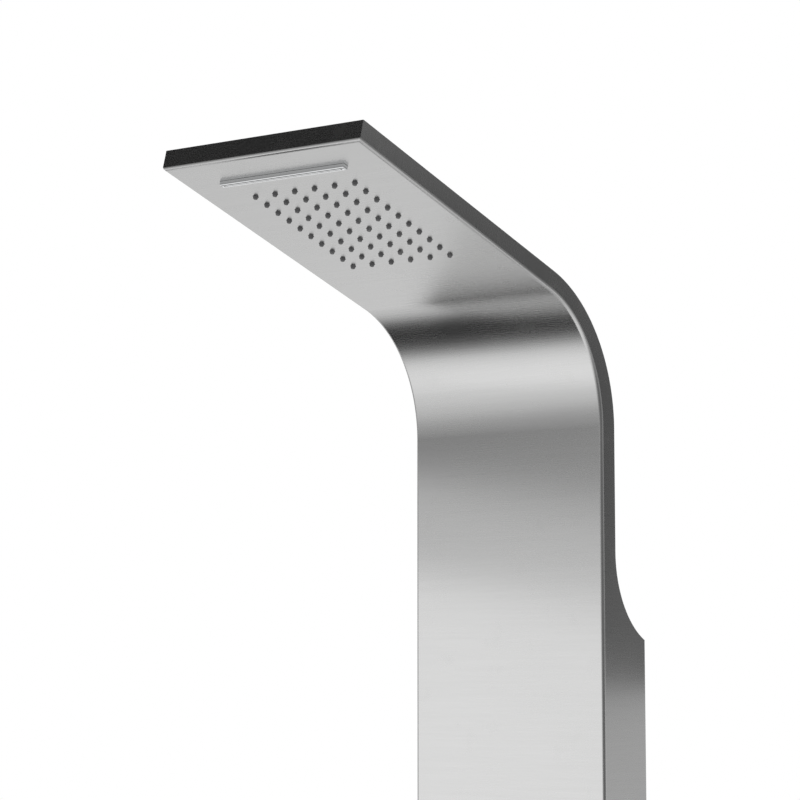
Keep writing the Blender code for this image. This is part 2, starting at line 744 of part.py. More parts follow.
def valve_body():
    """The brass body: two housings for the cartridges, the inlets' cross tube and the outlets' cross tube."""
    port_y = FRONT_Y + PORT_DEPTH
    back_y = FRONT_Y + HOUSING_BACK
    shoulder_y = FRONT_Y + SHEET + GAP
    inlet_x = INLET_SPACING / 2
    outlet_z = DIVERTER_Z + 14 * MM
    collar_front = FRONT_Y - COLLAR_REACH
    levels = (TEMPERATURE_Z, DIVERTER_Z)
    body = place(
        "valve_body",
        cylinder(15 * MM, (0, port_y, TEMPERATURE_Z), (0, port_y, DIVERTER_Z), 20),
        BRASS,
    )
    solids = [cylinder(HOUSING_RADIUS, (0, back_y, z), (0, shoulder_y, z)) for z in levels]
    solids += [cylinder(COLLAR_RADIUS, (0, port_y, z), (0, collar_front, z)) for z in levels]
    reach = inlet_x + INLET_RADIUS + 3 * MM
    solids.append(cylinder(13 * MM, (-reach, port_y, TEMPERATURE_Z), (reach, port_y, TEMPERATURE_Z), 20))
    reach = OUTLET_X + OUTLET_RADIUS + 3 * MM
    solids.append(cylinder(11 * MM, (-reach, port_y, outlet_z), (reach, port_y, outlet_z), 20))
    for side in (-1, 1):
        x = side * inlet_x
        foot = TEMPERATURE_Z - INLET_DROP
        solids.append(cylinder(INLET_RADIUS, (x, port_y, TEMPERATURE_Z), (x, port_y, foot), 20))
        x = side * OUTLET_X
        head = DIVERTER_Z + OUTLET_RISE
        solids.append(cylinder(OUTLET_RADIUS, (x, port_y, outlet_z), (x, port_y, head), 16))
    bore = CARTRIDGE_RADIUS + RUNNING
    floor_y = FRONT_Y + CARTRIDGE_DEPTH + GAP
    bores = [cylinder(bore, (0, floor_y, z), (0, collar_front - MM, z)) for z in levels]
    for side in (-1, 1):
        x = side * inlet_x
        foot = TEMPERATURE_Z - INLET_DROP - MM
        bores.append(cylinder(INLET_BORE, (x, port_y, TEMPERATURE_Z - 6 * MM), (x, port_y, foot), 16))
        x = side * OUTLET_X
        head = DIVERTER_Z + OUTLET_RISE + MM
        bores.append(cylinder(OUTLET_BORE, (x, port_y, outlet_z), (x, port_y, head), 12))
    for solid in solids:
        cut(body, cutter(solid), "UNION")
    for hole in bores:
        cut(body, cutter(hole))


def control(word, axis):
    """What the two controls share: cartridge, spindle, mounting nut, trim ring, knob, its screw and its cap."""
    bore = SPINDLE_RADIUS + RUNNING
    cartridge = [
        (CARTRIDGE_RADIUS, CARTRIDGE_FRONT),
        (CARTRIDGE_RADIUS, -CARTRIDGE_DEPTH),
        (0, -CARTRIDGE_DEPTH),
        (0, SPINDLE_FOOT - RUNNING),
        (bore, SPINDLE_FOOT - RUNNING),
        (bore, CARTRIDGE_FRONT),
    ]
    # The profile starts and ends on the axis, so its points are given from the floor of the bore round to the foot.
    turned(word + "_cartridge", cartridge[3:] + cartridge[:3], PLASTIC, axis)
    spindle = [
        (0, SPINDLE_TOP - 9 * MM),
        (SCREW_BORE, SPINDLE_TOP - 9 * MM),
        (SCREW_BORE, SPINDLE_TOP),
        (SPINDLE_RADIUS, SPINDLE_TOP),
        (SPINDLE_RADIUS, SPINDLE_FOOT),
        (0, SPINDLE_FOOT),
    ]
    turned(word + "_spindle", spindle, BRASS, axis, 16)
    inner = COLLAR_RADIUS + GAP
    tube(word + "_mounting_nut", axis, (0, 0, GAP), (0, 0, 0), inner, NUT_RADIUS, NUT_HEIGHT, BRASS, 24)
    thread, outer = COLLAR_RADIUS + GAP, NUT_RADIUS - 1 * MM
    foot, roof, top = NUT_HEIGHT + 3 * GAP, CARTRIDGE_FRONT + GAP, CARTRIDGE_FRONT + 1.6 * MM
    lip = CARTRIDGE_RADIUS - 3 * MM
    cap_nut = [(outer, top), (outer, foot), (thread, foot), (thread, roof), (lip, roof), (lip, top)]
    turned(word + "_cartridge_nut", cap_nut, BRASS, axis, 24)
    inner = NUT_RADIUS + 2 * GAP
    low, high, edge = GAP, GAP + TRIM_HEIGHT, 1 * MM
    ring = [
        (TRIM_RADIUS - edge, high),
        (TRIM_RADIUS, high - edge),
        (TRIM_RADIUS, low),
        (inner, low),
        (inner, high),
    ]
    turned(word + "_trim_ring", ring, CHROME, axis, 32)
    skirt = KNOB_RADIUS - KNOB_WALL
    roof = SPINDLE_TOP + GAP
    hub_foot = CARTRIDGE_FRONT + 2 * MM
    seat = KNOB_FRONT - CAP_RECESS
    counterbore, pocket = 4 * MM, seat - 2.5 * MM
    knob = [
        (KNOB_RADIUS - edge, KNOB_FRONT),
        (KNOB_RADIUS, KNOB_FRONT - edge),
        (KNOB_RADIUS, KNOB_START),
        (skirt, KNOB_START),
        (skirt, roof),
        (HUB_RADIUS, roof),
        (HUB_RADIUS, hub_foot),
        (bore, hub_foot),
        (bore, roof),
        (SCREW_BORE, roof),
        (SCREW_BORE, pocket),
        (counterbore, pocket),
        (counterbore, seat),
        (CAP_RADIUS, seat),
        (CAP_RADIUS, KNOB_FRONT),
    ]
    knob = turned(word + "_knob", knob, CHROME, axis, 32)
    place_z = pocket + GAP / 2
    screw(word + "_knob_screw", axis, (0, 0, place_z), 1.9 * MM, place_z - SPINDLE_TOP + 8 * MM, 3.6 * MM, 2 * MM)
    cap = cylinder(CAP_RADIUS - GAP, (0, 0, seat + GAP), (0, 0, KNOB_FRONT), 24)
    place(word + "_knob_cap", cap, CHROME, axis)
    return knob


def lever(knob, axis):
    """The finger pin in the diverter knob's side, which shows the outlet that it points to."""
    middle = KNOB_START + LEVER_RISE
    start = (0, KNOB_RADIUS - KNOB_WALL / 2, middle)
    pin = cylinder(LEVER_RADIUS, start, (0, KNOB_RADIUS + LEVER_REACH, middle), 12)
    cut(knob, cutter(pin, axis), "UNION")


def safety_button(knob, axis):
    """The button in the temperature knob's side that lets it turn past 38 degrees, and the spring under it."""
    middle = KNOB_START + BUTTON_RISE
    skirt = KNOB_RADIUS - KNOB_WALL
    top = KNOB_RADIUS + BUTTON_PROUD
    upright = (-math.pi / 2, 0, 0)
    hole = cylinder(BUTTON_RADIUS + RUNNING, (0, skirt - 3 * MM, middle), (0, KNOB_RADIUS + MM, middle), 16)
    cut(knob, cutter(hole, axis))
    shoulder = math.sqrt(skirt**2 - (BUTTON_RADIUS + MM) ** 2) - RUNNING
    foot = shoulder - 3 * MM
    profile = [
        (0, top),
        (BUTTON_RADIUS - 0.6 * MM, top),
        (BUTTON_RADIUS, top - 0.6 * MM),
        (BUTTON_RADIUS, shoulder),
        (BUTTON_RADIUS + MM, shoulder),
        (BUTTON_RADIUS + MM, foot),
        (0, foot),
    ]
    turned("safety_button", profile, RED, axis, 16, (0, 0, middle), upright)
    spring(axis, middle, HUB_RADIUS + GAP, foot - GAP)


def spring(axis, middle, low, high):
    """A coil between the knob's hub and the button, drawn along the axis frame's Y."""
    curve = bpy.data.curves.new("button_spring", "CURVE")
    curve.dimensions = "3D"
    curve.bevel_depth = SPRING_WIRE / 2
    curve.bevel_resolution = 1
    curve.use_fill_caps = True
    count = SPRING_TURNS * SPRING_STEPS
    travel = high - low - SPRING_WIRE
    spline = curve.splines.new("POLY")
    spline.points.add(count)
    for i, point in enumerate(spline.points):
        angle = math.tau * i / SPRING_STEPS
        along = low + SPRING_WIRE / 2 + travel * i / count
        point.co = (SPRING_RADIUS * math.cos(angle), along, middle + SPRING_RADIUS * math.sin(angle), 1)
    curve.materials.append(ZINC)
    made = bpy.data.objects.new("button_spring", curve)
    made.parent = axis
    COLUMN.objects.link(made)


def strainers():
    """The mesh cups in the mouths of the two inlets."""
    port_y = FRONT_Y + PORT_DEPTH
    foot = TEMPERATURE_Z - INLET_DROP
    radius = INLET_BORE - GAP
    for word, side in (("hot", -1), ("cold", 1)):
        profile = [
            (0, 8 * MM),
            (radius * 0.7, 8 * MM),
            (radius, 0),
            (radius - MM, 0),
            (radius * 0.7 - MM, 7 * MM),
            (0, 7 * MM),
        ]
        place_at = (side * INLET_SPACING / 2, port_y, foot + 2 * MM)
        turned(word + "_inlet_strainer", profile, PLASTIC, None, 16, place_at)


# Hanging hardware


def bracket_outline():
    """The wall bracket's section: a plate on the wall, a shelf, and a lip that the panel's rail drops over."""
    return [
        (0, -BRACKET_DROP),
        (0, HOOK_SHELF + PLATE),
        (PLATE - HOOK_REACH, HOOK_SHELF + PLATE),
        (PLATE - HOOK_REACH, HOOK_LIP),
        (-HOOK_REACH, HOOK_LIP),
        (-HOOK_REACH, HOOK_SHELF),
        (-PLATE, HOOK_SHELF),
        (-PLATE, -BRACKET_DROP),
    ]


def rail_outline():
    """The hanger rail's section: an inverted hook over the bracket's lip, with a long front leg."""
    clearance = 0.4 * MM
    inner_back = PLATE - HOOK_REACH + clearance
    inner_front = -HOOK_REACH - clearance
    roof = HOOK_LIP + GAP
    return [
        (inner_back + PLATE, HOOK_SHELF + PLATE + 3 * MM),
        (inner_back + PLATE, roof + PLATE),
        (inner_front - PLATE, roof + PLATE),
        (inner_front - PLATE, -BRACKET_DROP / 2),
        (inner_front, -BRACKET_DROP / 2),
        (inner_front, roof),
        (inner_back, roof),
        (inner_back, HOOK_SHELF + PLATE + 3 * MM),
    ]


def hanging_hardware():
    for word, z in (("upper", 0), ("lower", LOWER_BRACKET_Z)):
        half = BRACKET_WIDTH / 2
        bracket = place(word + "_wall_bracket", extruded(bracket_outline(), -half, half), ZINC, None, (0, 0, z))

        def holes(shape, z=z):
            for x in (-WALL_SCREW_X, WALL_SCREW_X):
                add_cylinder(shape, WALL_SCREW_RADIUS, (x, MM, z - 10 * MM), (x, -PLATE - MM, z - 10 * MM), 16)

        cut(bracket, cutter(mesh_of(holes)))
        rail = extruded(rail_outline(), -INSIDE_HALF, INSIDE_HALF)
        place(word + "_hanger_rail", rail, ZINC, None, (0, 0, z))


def build_column():
    head = empty("head_frame", TIP, (-HEAD_TILT, 0, 0))
    neck = empty("neck_frame", (0, FRONT_Y, NECK_FOOT_Z + NECK_TAB_UP), (-math.pi / 2, 0, 0))
    temperature = empty("temperature_axis", (0, FRONT_Y, TEMPERATURE_Z), (math.pi / 2, 0, 0))
    diverter = empty("diverter_axis", (0, FRONT_Y, DIVERTER_Z), (math.pi / 2, 0, 0))
    bpy.context.view_layer.update()
    panel_shell(head)
    top_cover(head, neck)
    nozzle_mat(head)
    chambers(head)
    waterfall_spout(head)
    hose_with_ends("rain", -OUTLET_X, RAIN_HOSE_X, CHAMBER_BACK + SPIGOT_LENGTH, head)
    hose_with_ends("waterfall", OUTLET_X, WATERFALL_HOSE_X, FALL_BACK + SPIGOT_LENGTH, head)
    valve_body()
    knob = control("temperature", temperature)
    lever(control("diverter", diverter), diverter)
    safety_button(knob, temperature)
    strainers()
    hanging_hardware()


build_column()
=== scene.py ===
import json
import math

import bmesh
import bpy
from mathutils import Matrix, Vector


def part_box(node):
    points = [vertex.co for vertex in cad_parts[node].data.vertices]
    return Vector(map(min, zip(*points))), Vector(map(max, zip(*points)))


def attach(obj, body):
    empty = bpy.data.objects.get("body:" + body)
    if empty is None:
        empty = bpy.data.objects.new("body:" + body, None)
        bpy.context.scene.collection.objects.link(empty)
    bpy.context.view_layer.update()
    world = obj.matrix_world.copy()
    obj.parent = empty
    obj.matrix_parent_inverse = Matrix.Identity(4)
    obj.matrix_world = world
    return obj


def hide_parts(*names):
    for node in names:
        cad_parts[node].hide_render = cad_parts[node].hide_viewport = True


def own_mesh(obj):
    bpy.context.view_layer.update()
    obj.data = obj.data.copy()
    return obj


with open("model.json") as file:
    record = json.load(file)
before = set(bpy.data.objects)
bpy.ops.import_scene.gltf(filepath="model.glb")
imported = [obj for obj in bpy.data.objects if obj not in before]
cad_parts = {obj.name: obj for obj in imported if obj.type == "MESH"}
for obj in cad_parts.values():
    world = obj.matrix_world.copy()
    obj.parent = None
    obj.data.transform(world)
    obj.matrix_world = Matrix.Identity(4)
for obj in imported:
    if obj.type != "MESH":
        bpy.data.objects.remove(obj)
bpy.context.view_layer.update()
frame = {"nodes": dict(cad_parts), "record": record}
nodes = frame["nodes"]
scene = bpy.context.scene
mm = 0.001

print("camera")
view = {
    "position": (1.23526, -2.02702, 0.0071),
    "turn": 34.72,  # degrees to the left of straight at the wall
    "rise": 6.739,  # degrees above level
    "lens": 114.75,
}
cameraData = bpy.data.cameras.new("camera")
cameraData.lens = view["lens"]
cameraData.sensor_width = 36
cameraData.clip_end = 100
cameraData.dof.use_dof = False
camera = bpy.data.objects.new("camera", cameraData)
camera.location = view["position"]
camera.rotation_euler = (math.radians(90 + view["rise"]), 0, math.radians(view["turn"]))
scene.collection.objects.link(camera)
scene.camera = camera
scene.view_settings.view_transform = "Standard"


class Wire:  # one output socket that can be used in sums
    def __init__(self, paint, socket):
        self.paint = paint
        self.socket = socket

    def maths(self, operation, other=None, swapped=False):
        pair = (other, self) if swapped else (self, other)
        sockets = {i: value for i, value in enumerate(pair) if value is not None}
        return self.paint.add("ShaderNodeMath", {"operation": operation}, sockets)

    def __add__(self, other):
        return self.maths("ADD", other)

    def __radd__(self, other):
        return self.maths("ADD", other, True)

    def __sub__(self, other):
        return self.maths("SUBTRACT", other)

    def __rsub__(self, other):
        return self.maths("SUBTRACT", other, True)

    def __mul__(self, other):
        return self.maths("MULTIPLY", other)

    def __rmul__(self, other):
        return self.maths("MULTIPLY", other, True)


class Paint:  # a node tree, and the one way that nodes are added to it
    def __init__(self, tree):
        self.tree = tree
        self.made = 0

    def add(self, kind, settings=None, sockets=None, output=0):
        node = self.tree.nodes.new(kind)
        node.location = (-220 * (1 + self.made % 7), -180 * (self.made // 7))
        self.made += 1
        for name, value in (settings or {}).items():
            if name == "stops":
                while len(node.color_ramp.elements) < len(value):
                    node.color_ramp.elements.new(0.5)
                for element, (place, colour) in zip(node.color_ramp.elements, value):
                    element.position, element.color = place, (*colour, 1)
            else:
                setattr(node, name, value)
        for name, value in (sockets or {}).items():
            if isinstance(value, Wire):
                self.tree.links.new(value.socket, node.inputs[name])
            else:
                node.inputs[name].default_value = value
        return Wire(self, node.outputs[output])

    def join(self, wire, node, name):
        self.tree.links.new(wire.socket, node.inputs[name])

    def shape(self, value, low, high, toLow=0.0, toHigh=1.0, kind="SMOOTHSTEP"):
        return self.add(
            "ShaderNodeMapRange",
            {"interpolation_type": kind},
            {"Value": value, "From Min": low, "From Max": high, "To Min": toLow, "To Max": toHigh},
        )

    def stretched(self, place, scale):
        return self.add("ShaderNodeVectorMath", {"operation": "MULTIPLY"}, {0: place, 1: scale})

    def noise(self, place, scale, detail=2.0, rough=0.5, output="Fac"):
        sockets = {"Vector": place, "Scale": scale, "Detail": detail, "Roughness": rough}
        return self.add("ShaderNodeTexNoise", None, sockets, output)

    def blend(self, share, first, second):
        settings = {"data_type": "RGBA"}
        return self.add("ShaderNodeMix", settings, {"Factor": share, 6: first, 7: second}, 2)

    def parts(self, place):
        apart = self.add("ShaderNodeSeparateXYZ", None, {0: place})
        return [Wire(self, socket) for socket in apart.socket.node.outputs]


def finish(name, colour, roughness, metallic, **more):
    made = bpy.data.materials.new(name)
    made.use_nodes = True
    paint = Paint(made.node_tree)
    shader = made.node_tree.nodes["Principled BSDF"]
    shader.inputs["Base Color"].default_value = (*colour, 1)
    shader.inputs["Roughness"].default_value = roughness
    shader.inputs["Metallic"].default_value = metallic
    for socket, value in more.items():
        shader.inputs[socket.replace("_", " ")].default_value = value
    return made, paint, shader


def ownPlace(paint):
    return paint.add("ShaderNodeTexCoord", None, None, "Object")


def laidPlace(paint):  # across the sheet, along it, and round or out, laid on each mesh by layGrain
    return paint.add("ShaderNodeAttribute", {"attribute_name": "grain"}, None, "Vector")


def tint(colour, by):
    return tuple(min(1.0, max(0.0, value * by)) for value in colour) + (1,)


print("materials")
brushing = {
    "panel": {
        "colour": (0.622, 0.622, 0.62),
        "roughness": 0.27,
        "streak": 0.03,  # how much lighter or darker the lines are
        "vary": 0.035,  # how much the roughness changes across them
        "fine": 1100,  # lines to the metre
        "bump": 0.012,
    },
    "cover": {
        "colour": (0.6, 0.6, 0.597),
        "roughness": 0.33,
        "streak": 0.05,
        "vary": 0.08,
        "fine": 800,
        "bump": 0.04,
    },
}


def brushedSteel(name, look):
    made, paint, shader = finish(name, look["colour"], look["roughness"], 1.0)
    place = laidPlace(paint)
    wide = paint.noise(paint.stretched(place, (7, 210, 90)), 1, 3, 0.6)
    fine = paint.noise(paint.stretched(place, (26, look["fine"], 90)), 1, 2, 0.55)
    hair = paint.noise(paint.stretched(place, (60, look["fine"] * 2.6, 90)), 1, 1)
    streak = wide * 0.35 + fine * 0.4 + hair * 0.25
    cloud = paint.noise(place, 9, 3, 0.5)
    smear = paint.shape(paint.noise(place, 31, 4, 0.62), 0.56, 0.74)
    tone = paint.shape(streak + (cloud - 0.5) * 0.16, 0.34, 0.66, 0, 1, "LINEAR")
    colours = tint(look["colour"], 1 - look["streak"]), tint(look["colour"], 1 + look["streak"])
    paint.join(paint.blend(tone, *colours), shader, "Base Color")
    dull = look["roughness"] + (fine - 0.5) * look["vary"] + (cloud - 0.5) * 0.04 + smear * 0.02
    paint.join(dull, shader, "Roughness")
    height = fine * 0.6 + hair * 0.4
    bump = {"Height": height, "Strength": look["bump"], "Distance": 0.0004}
    paint.join(paint.add("ShaderNodeBump", None, bump), shader, "Normal")
    return made


polish = {
    "spout": {"colour": (0.86, 0.87, 0.88), "roughness": 0.07, "spots": 150},
    "control": {"colour": (0.74, 0.75, 0.765), "roughness": 0.06, "spots": 190},
}


def polishedChrome(name, look, marks=None):
    made, paint, shader = finish(name, look["colour"], look["roughness"], 1.0)
    place = ownPlace(paint)
    film = paint.noise(place, 42, 4, 0.6)
    cells = {"Vector": place, "Scale": look["spots"], "Randomness": 1.0}
    cell = paint.add("ShaderNodeTexVoronoi", None, cells, "Distance")
    spots = paint.shape(cell, 0.1, 0.2, 1, 0) * paint.shape(film, 0.52, 0.66)
    scuff = paint.noise(paint.stretched(place, (900, 90, 700)), 1, 2)
    dull = look["roughness"] + paint.shape(film, 0.45, 0.75) * 0.05 + spots * 0.16 + scuff * 0.03
    colour = paint.blend(film, tint(look["colour"], 0.965), tint(look["colour"], 1.02))
    colour = paint.blend(spots * 0.4, colour, (0.8, 0.79, 0.76, 1))
    if marks:  # ink in the scale's cuts, which are the only places this far below the ring's face
        height = paint.parts(laidPlace(paint))[2]
        ink = paint.shape(height, marks["ink"] - 0.00004, marks["ink"] + 0.00004, 1, 0)
        colour = paint.blend(ink, colour, (0.03, 0.03, 0.035, 1))
        paint.join(1 - ink, shader, "Metallic")
        dull = dull + ink * 0.4
    paint.join(colour, shader, "Base Color")
    paint.join(dull, shader, "Roughness")
    bump = {"Height": scuff + film * 0.5, "Strength": 0.02, "Distance": 0.0003}
    paint.join(paint.add("ShaderNodeBump", None, bump), shader, "Normal")
    return made


def spunMetal(name, colour, roughness, rings, depth):
    made, paint, shader = finish(name, colour, roughness, 1.0)
    around, height, out = paint.parts(laidPlace(paint))
    rings = ((out + height) * rings).maths("SINE")
    waver = paint.noise(laidPlace(paint), 300, 2)
    groove = rings * 0.5 + 0.5
    tone = groove * 0.7 + waver * 0.3
    paint.join(paint.blend(tone, tint(colour, 0.9), tint(colour, 1.06)), shader, "Base Color")
    paint.join(roughness + (waver - 0.5) * 0.12 + groove * 0.05, shader, "Roughness")
    bump = {"Height": groove, "Strength": depth, "Distance": 0.00015}
    paint.join(paint.add("ShaderNodeBump", None, bump), shader, "Normal")
    return made


def siliconeRubber():
    look = {"colour": (0.115, 0.115, 0.118), "roughness": 0.5}
    made, paint, shader = finish("silicone", look["colour"], look["roughness"], 0, Specular_IOR_Level=0.4)
    place = ownPlace(paint)
    grain = paint.noise(place, 2600, 3, 0.6)
    lime = paint.shape(paint.noise(place, 130, 4, 0.65), 0.55, 0.72)
    colour = paint.blend(grain, tint(look["colour"], 0.82), tint(look["colour"], 1.2))
    paint.join(paint.blend(lime * 0.22, colour, (0.5, 0.5, 0.48, 1)), shader, "Base Color")
    paint.join(look["roughness"] + (grain - 0.5) * 0.14 + lime * 0.12, shader, "Roughness")
    bump = {"Height": grain, "Strength": 0.12, "Distance": 0.0002}
    paint.join(paint.add("ShaderNodeBump", None, bump), shader, "Normal")
    return made


def mouldedPlastic(name, colour, roughness, grainScale, depth, shine=0.5):
    made, paint, shader = finish(name, colour, roughness, 0, Specular_IOR_Level=shine)
    place = ownPlace(paint)
    grain = paint.noise(place, grainScale, 3, 0.6)
    flow = paint.noise(paint.stretched(place, (22, 22, 70)), 1, 3, 0.55)
    dust = paint.shape(paint.noise(place, 60, 5, 0.7), 0.58, 0.8)
    tone = flow * 0.6 + grain * 0.4
    body = paint.blend(tone, tint(colour, 0.9), tint(colour, 1.07))
    paint.join(paint.blend(dust * 0.25, body, tint(colour, 0.62)), shader, "Base Color")
    paint.join(roughness + (grain - 0.5) * 0.12 + dust * 0.1, shader, "Roughness")
    bump = {"Height": grain, "Strength": depth, "Distance": 0.0002}
    paint.join(paint.add("ShaderNodeBump", None, bump), shader, "Normal")
    return made


def strainerMesh():
    look = {"colour": (0.5, 0.56, 0.62), "pitch": 5200}
    made, paint, shader = finish("strainerPlastic", look["colour"], 0.45, 0)
    across, along, up = paint.parts(ownPlace(paint))
    ribs = [(way * look["pitch"]).maths("SINE").maths("ABSOLUTE") for way in (across, along, up)]
    weave = ribs[0].maths("MAXIMUM", ribs[1]).maths("MAXIMUM", ribs[2])
    # painted shade: the near-black spots, where all three rib sets fall to zero, stand for the mesh's
    # openings and the shade behind them
    paint.join(paint.blend(weave, (0.08, 0.09, 0.1, 1), (*look["colour"], 1)), shader, "Base Color")
    paint.join(0.6 - weave * 0.2, shader, "Roughness")
    bump = {"Height": weave, "Strength": 0.4, "Distance": 0.0003}
    paint.join(paint.add("ShaderNodeBump", None, bump), shader, "Normal")
    return made


def castBrass():
    look = {"colour": (0.72, 0.55, 0.28), "roughness": 0.34}
    made, paint, shader = finish("valveBrass", look["colour"], look["roughness"], 1.0)
    place = ownPlace(paint)
    cast = paint.noise(place, 900, 4, 0.65)
    stain = paint.shape(paint.noise(place, 46, 5, 0.6), 0.45, 0.72)
    turned = paint.noise(paint.stretched(place, (60, 2400, 60)), 1, 2)
    colour = paint.blend(cast, tint(look["colour"], 0.86), tint(look["colour"], 1.08))
    paint.join(paint.blend(stain * 0.5, colour, (0.42, 0.27, 0.12, 1)), shader, "Base Color")
    paint.join(look["roughness"] + (turned - 0.5) * 0.12 + stain * 0.16, shader, "Roughness")
    bump = {"Height": cast * 0.7 + turned * 0.3, "Strength": 0.16, "Distance": 0.0003}
    paint.join(paint.add("ShaderNodeBump", None, bump), shader, "Normal")
    return made


def zincPlate():
    look = {"colour": (0.6, 0.61, 0.62), "roughness": 0.4, "spangle": 170}
    made, paint, shader = finish("zincPlate", look["colour"], look["roughness"], 1.0)
    place = ownPlace(paint)
    cells = {"Vector": place, "Scale": look["spangle"], "Randomness": 1.0}
    spangle = paint.add("ShaderNodeTexVoronoi", None, cells, "Color")
    flake = paint.parts(spangle)[0]
    bloom = paint.shape(paint.noise(place, 34, 5, 0.62), 0.5, 0.74)
    roll = paint.noise(paint.stretched(place, (12, 500, 500)), 1, 2)
    colour = paint.blend(flake * 0.6 + roll * 0.4, (0.5, 0.52, 0.56, 1), (0.68, 0.68, 0.66, 1))
    paint.join(paint.blend(bloom * 0.4, colour, (0.62, 0.58, 0.47, 1)), shader, "Base Color")
    paint.join(look["roughness"] + (flake - 0.5) * 0.12 + bloom * 0.1, shader, "Roughness")
    bump = {"Height": roll, "Strength": 0.08, "Distance": 0.0003}
    paint.join(paint.add("ShaderNodeBump", None, bump), shader, "Normal")
    return made


def braidedHose():
    look = {"wires": 24, "pitch": 0.0085, "radius": 0.0055}
    made, paint, shader = finish("braid", (0.6, 0.61, 0.63), 0.32, 1.0)
    around, along, out = paint.parts(laidPlace(paint))
    turns = around * (look["wires"] / 2 / look["radius"] * 0.5)
    rise = along * (math.tau * 6 / look["pitch"] * 0.5)
    one = (turns + rise).maths("SINE")
    other = (turns - rise).maths("SINE")
    strand = one.maths("ABSOLUTE").maths("MAXIMUM", other.maths("ABSOLUTE"))
    over = paint.shape(one * other, -0.35, 0.35)
    soil = paint.noise(ownPlace(paint), 55, 4, 0.6)
    # painted shade of the weave: the gaps between the wires (where strand is low) and the wires that dip
    # under (where over is low) turn near black, and the wires on top are painted lighter
    tone = strand * 0.7 + over * 0.3
    colour = paint.blend(tone, (0.12, 0.12, 0.13, 1), (0.72, 0.73, 0.75, 1))
    soiled = paint.blend(paint.shape(soil, 0.55, 0.8) * 0.3, colour, (0.3, 0.28, 0.25, 1))
    paint.join(soiled, shader, "Base Color")
    paint.join(0.5 - tone * 0.22, shader, "Roughness")
    bump = {"Height": tone, "Strength": 0.6, "Distance": 0.0005}
    paint.join(paint.add("ShaderNodeBump", None, bump), shader, "Normal")
    return made


ringMarks = {
    "every": 15,  # degrees
    "wide": 0.56 * mm,
    "long": 25.6 * mm,  # where the long and short marks start, and where both end
    "short": 26.8 * mm,
    "outer": 29.6 * mm,
    "ink": 3.1 * mm,  # below this height a mark is inked
}
finishes = {
    "brushed_panel": brushedSteel("panelSteel", brushing["panel"]),
    "brushed_cover": brushedSteel("coverSteel", brushing["cover"]),
    "spout_chrome": polishedChrome("spoutChrome", polish["spout"]),
    "control_chrome": polishedChrome("controlChrome", polish["control"]),
    "knob_cap": spunMetal("capMetal", (0.8, 0.81, 0.83), 0.16, 14000, 0.1),
    "silicone": siliconeRubber(),
    "white_plastic": mouldedPlastic("whitePlastic", (0.75, 0.75, 0.73), 0.45, 1500, 0.14),
    "cartridge_plastic": mouldedPlastic("cartridgePlastic", (0.7, 0.71, 0.72), 0.38, 1100, 0.1),
    "strainer_plastic": strainerMesh(),
    "button_red": mouldedPlastic("buttonRed", (0.6, 0.05, 0.04), 0.22, 700, 0.03),
    "valve_brass": castBrass(),
    "zinc_plate": zincPlate(),
    "cover_screw": spunMetal("screwSteel", (0.66, 0.66, 0.65), 0.28, 26000, 0.12),
    "crimp_ferrule": spunMetal("ferruleSteel", (0.68, 0.68, 0.67), 0.26, 9000, 0.15),
    "braid": braidedHose(),
}
scaleChrome = polishedChrome("scaleChrome", polish["control"], ringMarks)


body = {  # metres, and angles in radians
    "width": 200 * mm,
    "depth": 73 * mm,
    "neckDepth": 22 * mm,
    "headDepth": 18 * mm,
    "wallGap": 1 * mm,
    "sheet": 1.2 * mm,
    "fold": 3.2 * mm,
    "gap": 0.3 * mm,
    "bendRadius": 116 * mm,
    "headTilt": math.radians(15.7),
    "arm": 296 * mm,
    "neck": 110 * mm,
    "flareRadius": 84 * mm,
    "topToHook": 62 * mm,
    "bendSteps": 72,
    "flareSteps": 28,
}
halfWidth = body["width"] / 2
frontY = -(body["depth"] + body["wallGap"])
bendAngle = math.pi / 2 - body["headTilt"]
flareSweep = math.acos(1 - (body["depth"] - body["neckDepth"]) / body["flareRadius"])
neckFoot = body["topToHook"] + body["flareRadius"] * math.sin(flareSweep)
bendZ = neckFoot + body["neck"]
armAxis = Vector((0, -math.sin(bendAngle), math.cos(bendAngle)))
headUp = Vector((0, math.cos(bendAngle), math.sin(bendAngle)))
bendCentre = Vector((0, frontY - body["bendRadius"], bendZ))
armRoot = bendCentre + body["bendRadius"] * headUp
tip = armRoot + body["arm"] * armAxis
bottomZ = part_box("panel_shell")[0].z
insideHalf = halfWidth - body["sheet"] - body["gap"]
headFrame = Matrix.Translation(tip) @ Matrix(
    ((1, 0, 0, 0), (0, -armAxis.y, headUp.y, 0), (0, -armAxis.z, headUp.z, 0), (0, 0, 0, 1))
)


def controlFrame(z):
    return Matrix(((1, 0, 0, 0), (0, 0, -1, frontY), (0, 1, 0, z), (0, 0, 0, 1)))


def depthAt(turned):
    share = max(0.0, min(1.0, turned / bendAngle))
    return body["neckDepth"] + (body["headDepth"] - body["neckDepth"]) * share * share * (3 - 2 * share)


def bendPoint(turned, offset):
    away = Vector((0, math.cos(turned), math.sin(turned)))
    return bendCentre + (body["bendRadius"] + offset) * away


def stations(inset=0.0, tipInset=0.0):
    # pairs of front and rear points, from the bottom of the column to the head's tip
    pairs = [(Vector((0, frontY, bottomZ)), Vector((0, frontY + body["depth"] - inset, bottomZ)))]
    radius = body["flareRadius"] + inset
    for i in range(body["flareSteps"], -1, -1):
        swept = flareSweep * i / body["flareSteps"]
        z = neckFoot - radius * math.sin(swept)
        y = frontY + body["neckDepth"] + body["flareRadius"] - radius * math.cos(swept)
        pairs.append((Vector((0, frontY, z)), Vector((0, y, z))))
    for i in range(body["bendSteps"] + 1):
        turned = bendAngle * i / body["bendSteps"]
        pairs.append((bendPoint(turned, 0), bendPoint(turned, depthAt(turned) - inset)))
    end = tip - tipInset * armAxis
    pairs.append((end, end + (body["headDepth"] - inset) * headUp))
    return pairs


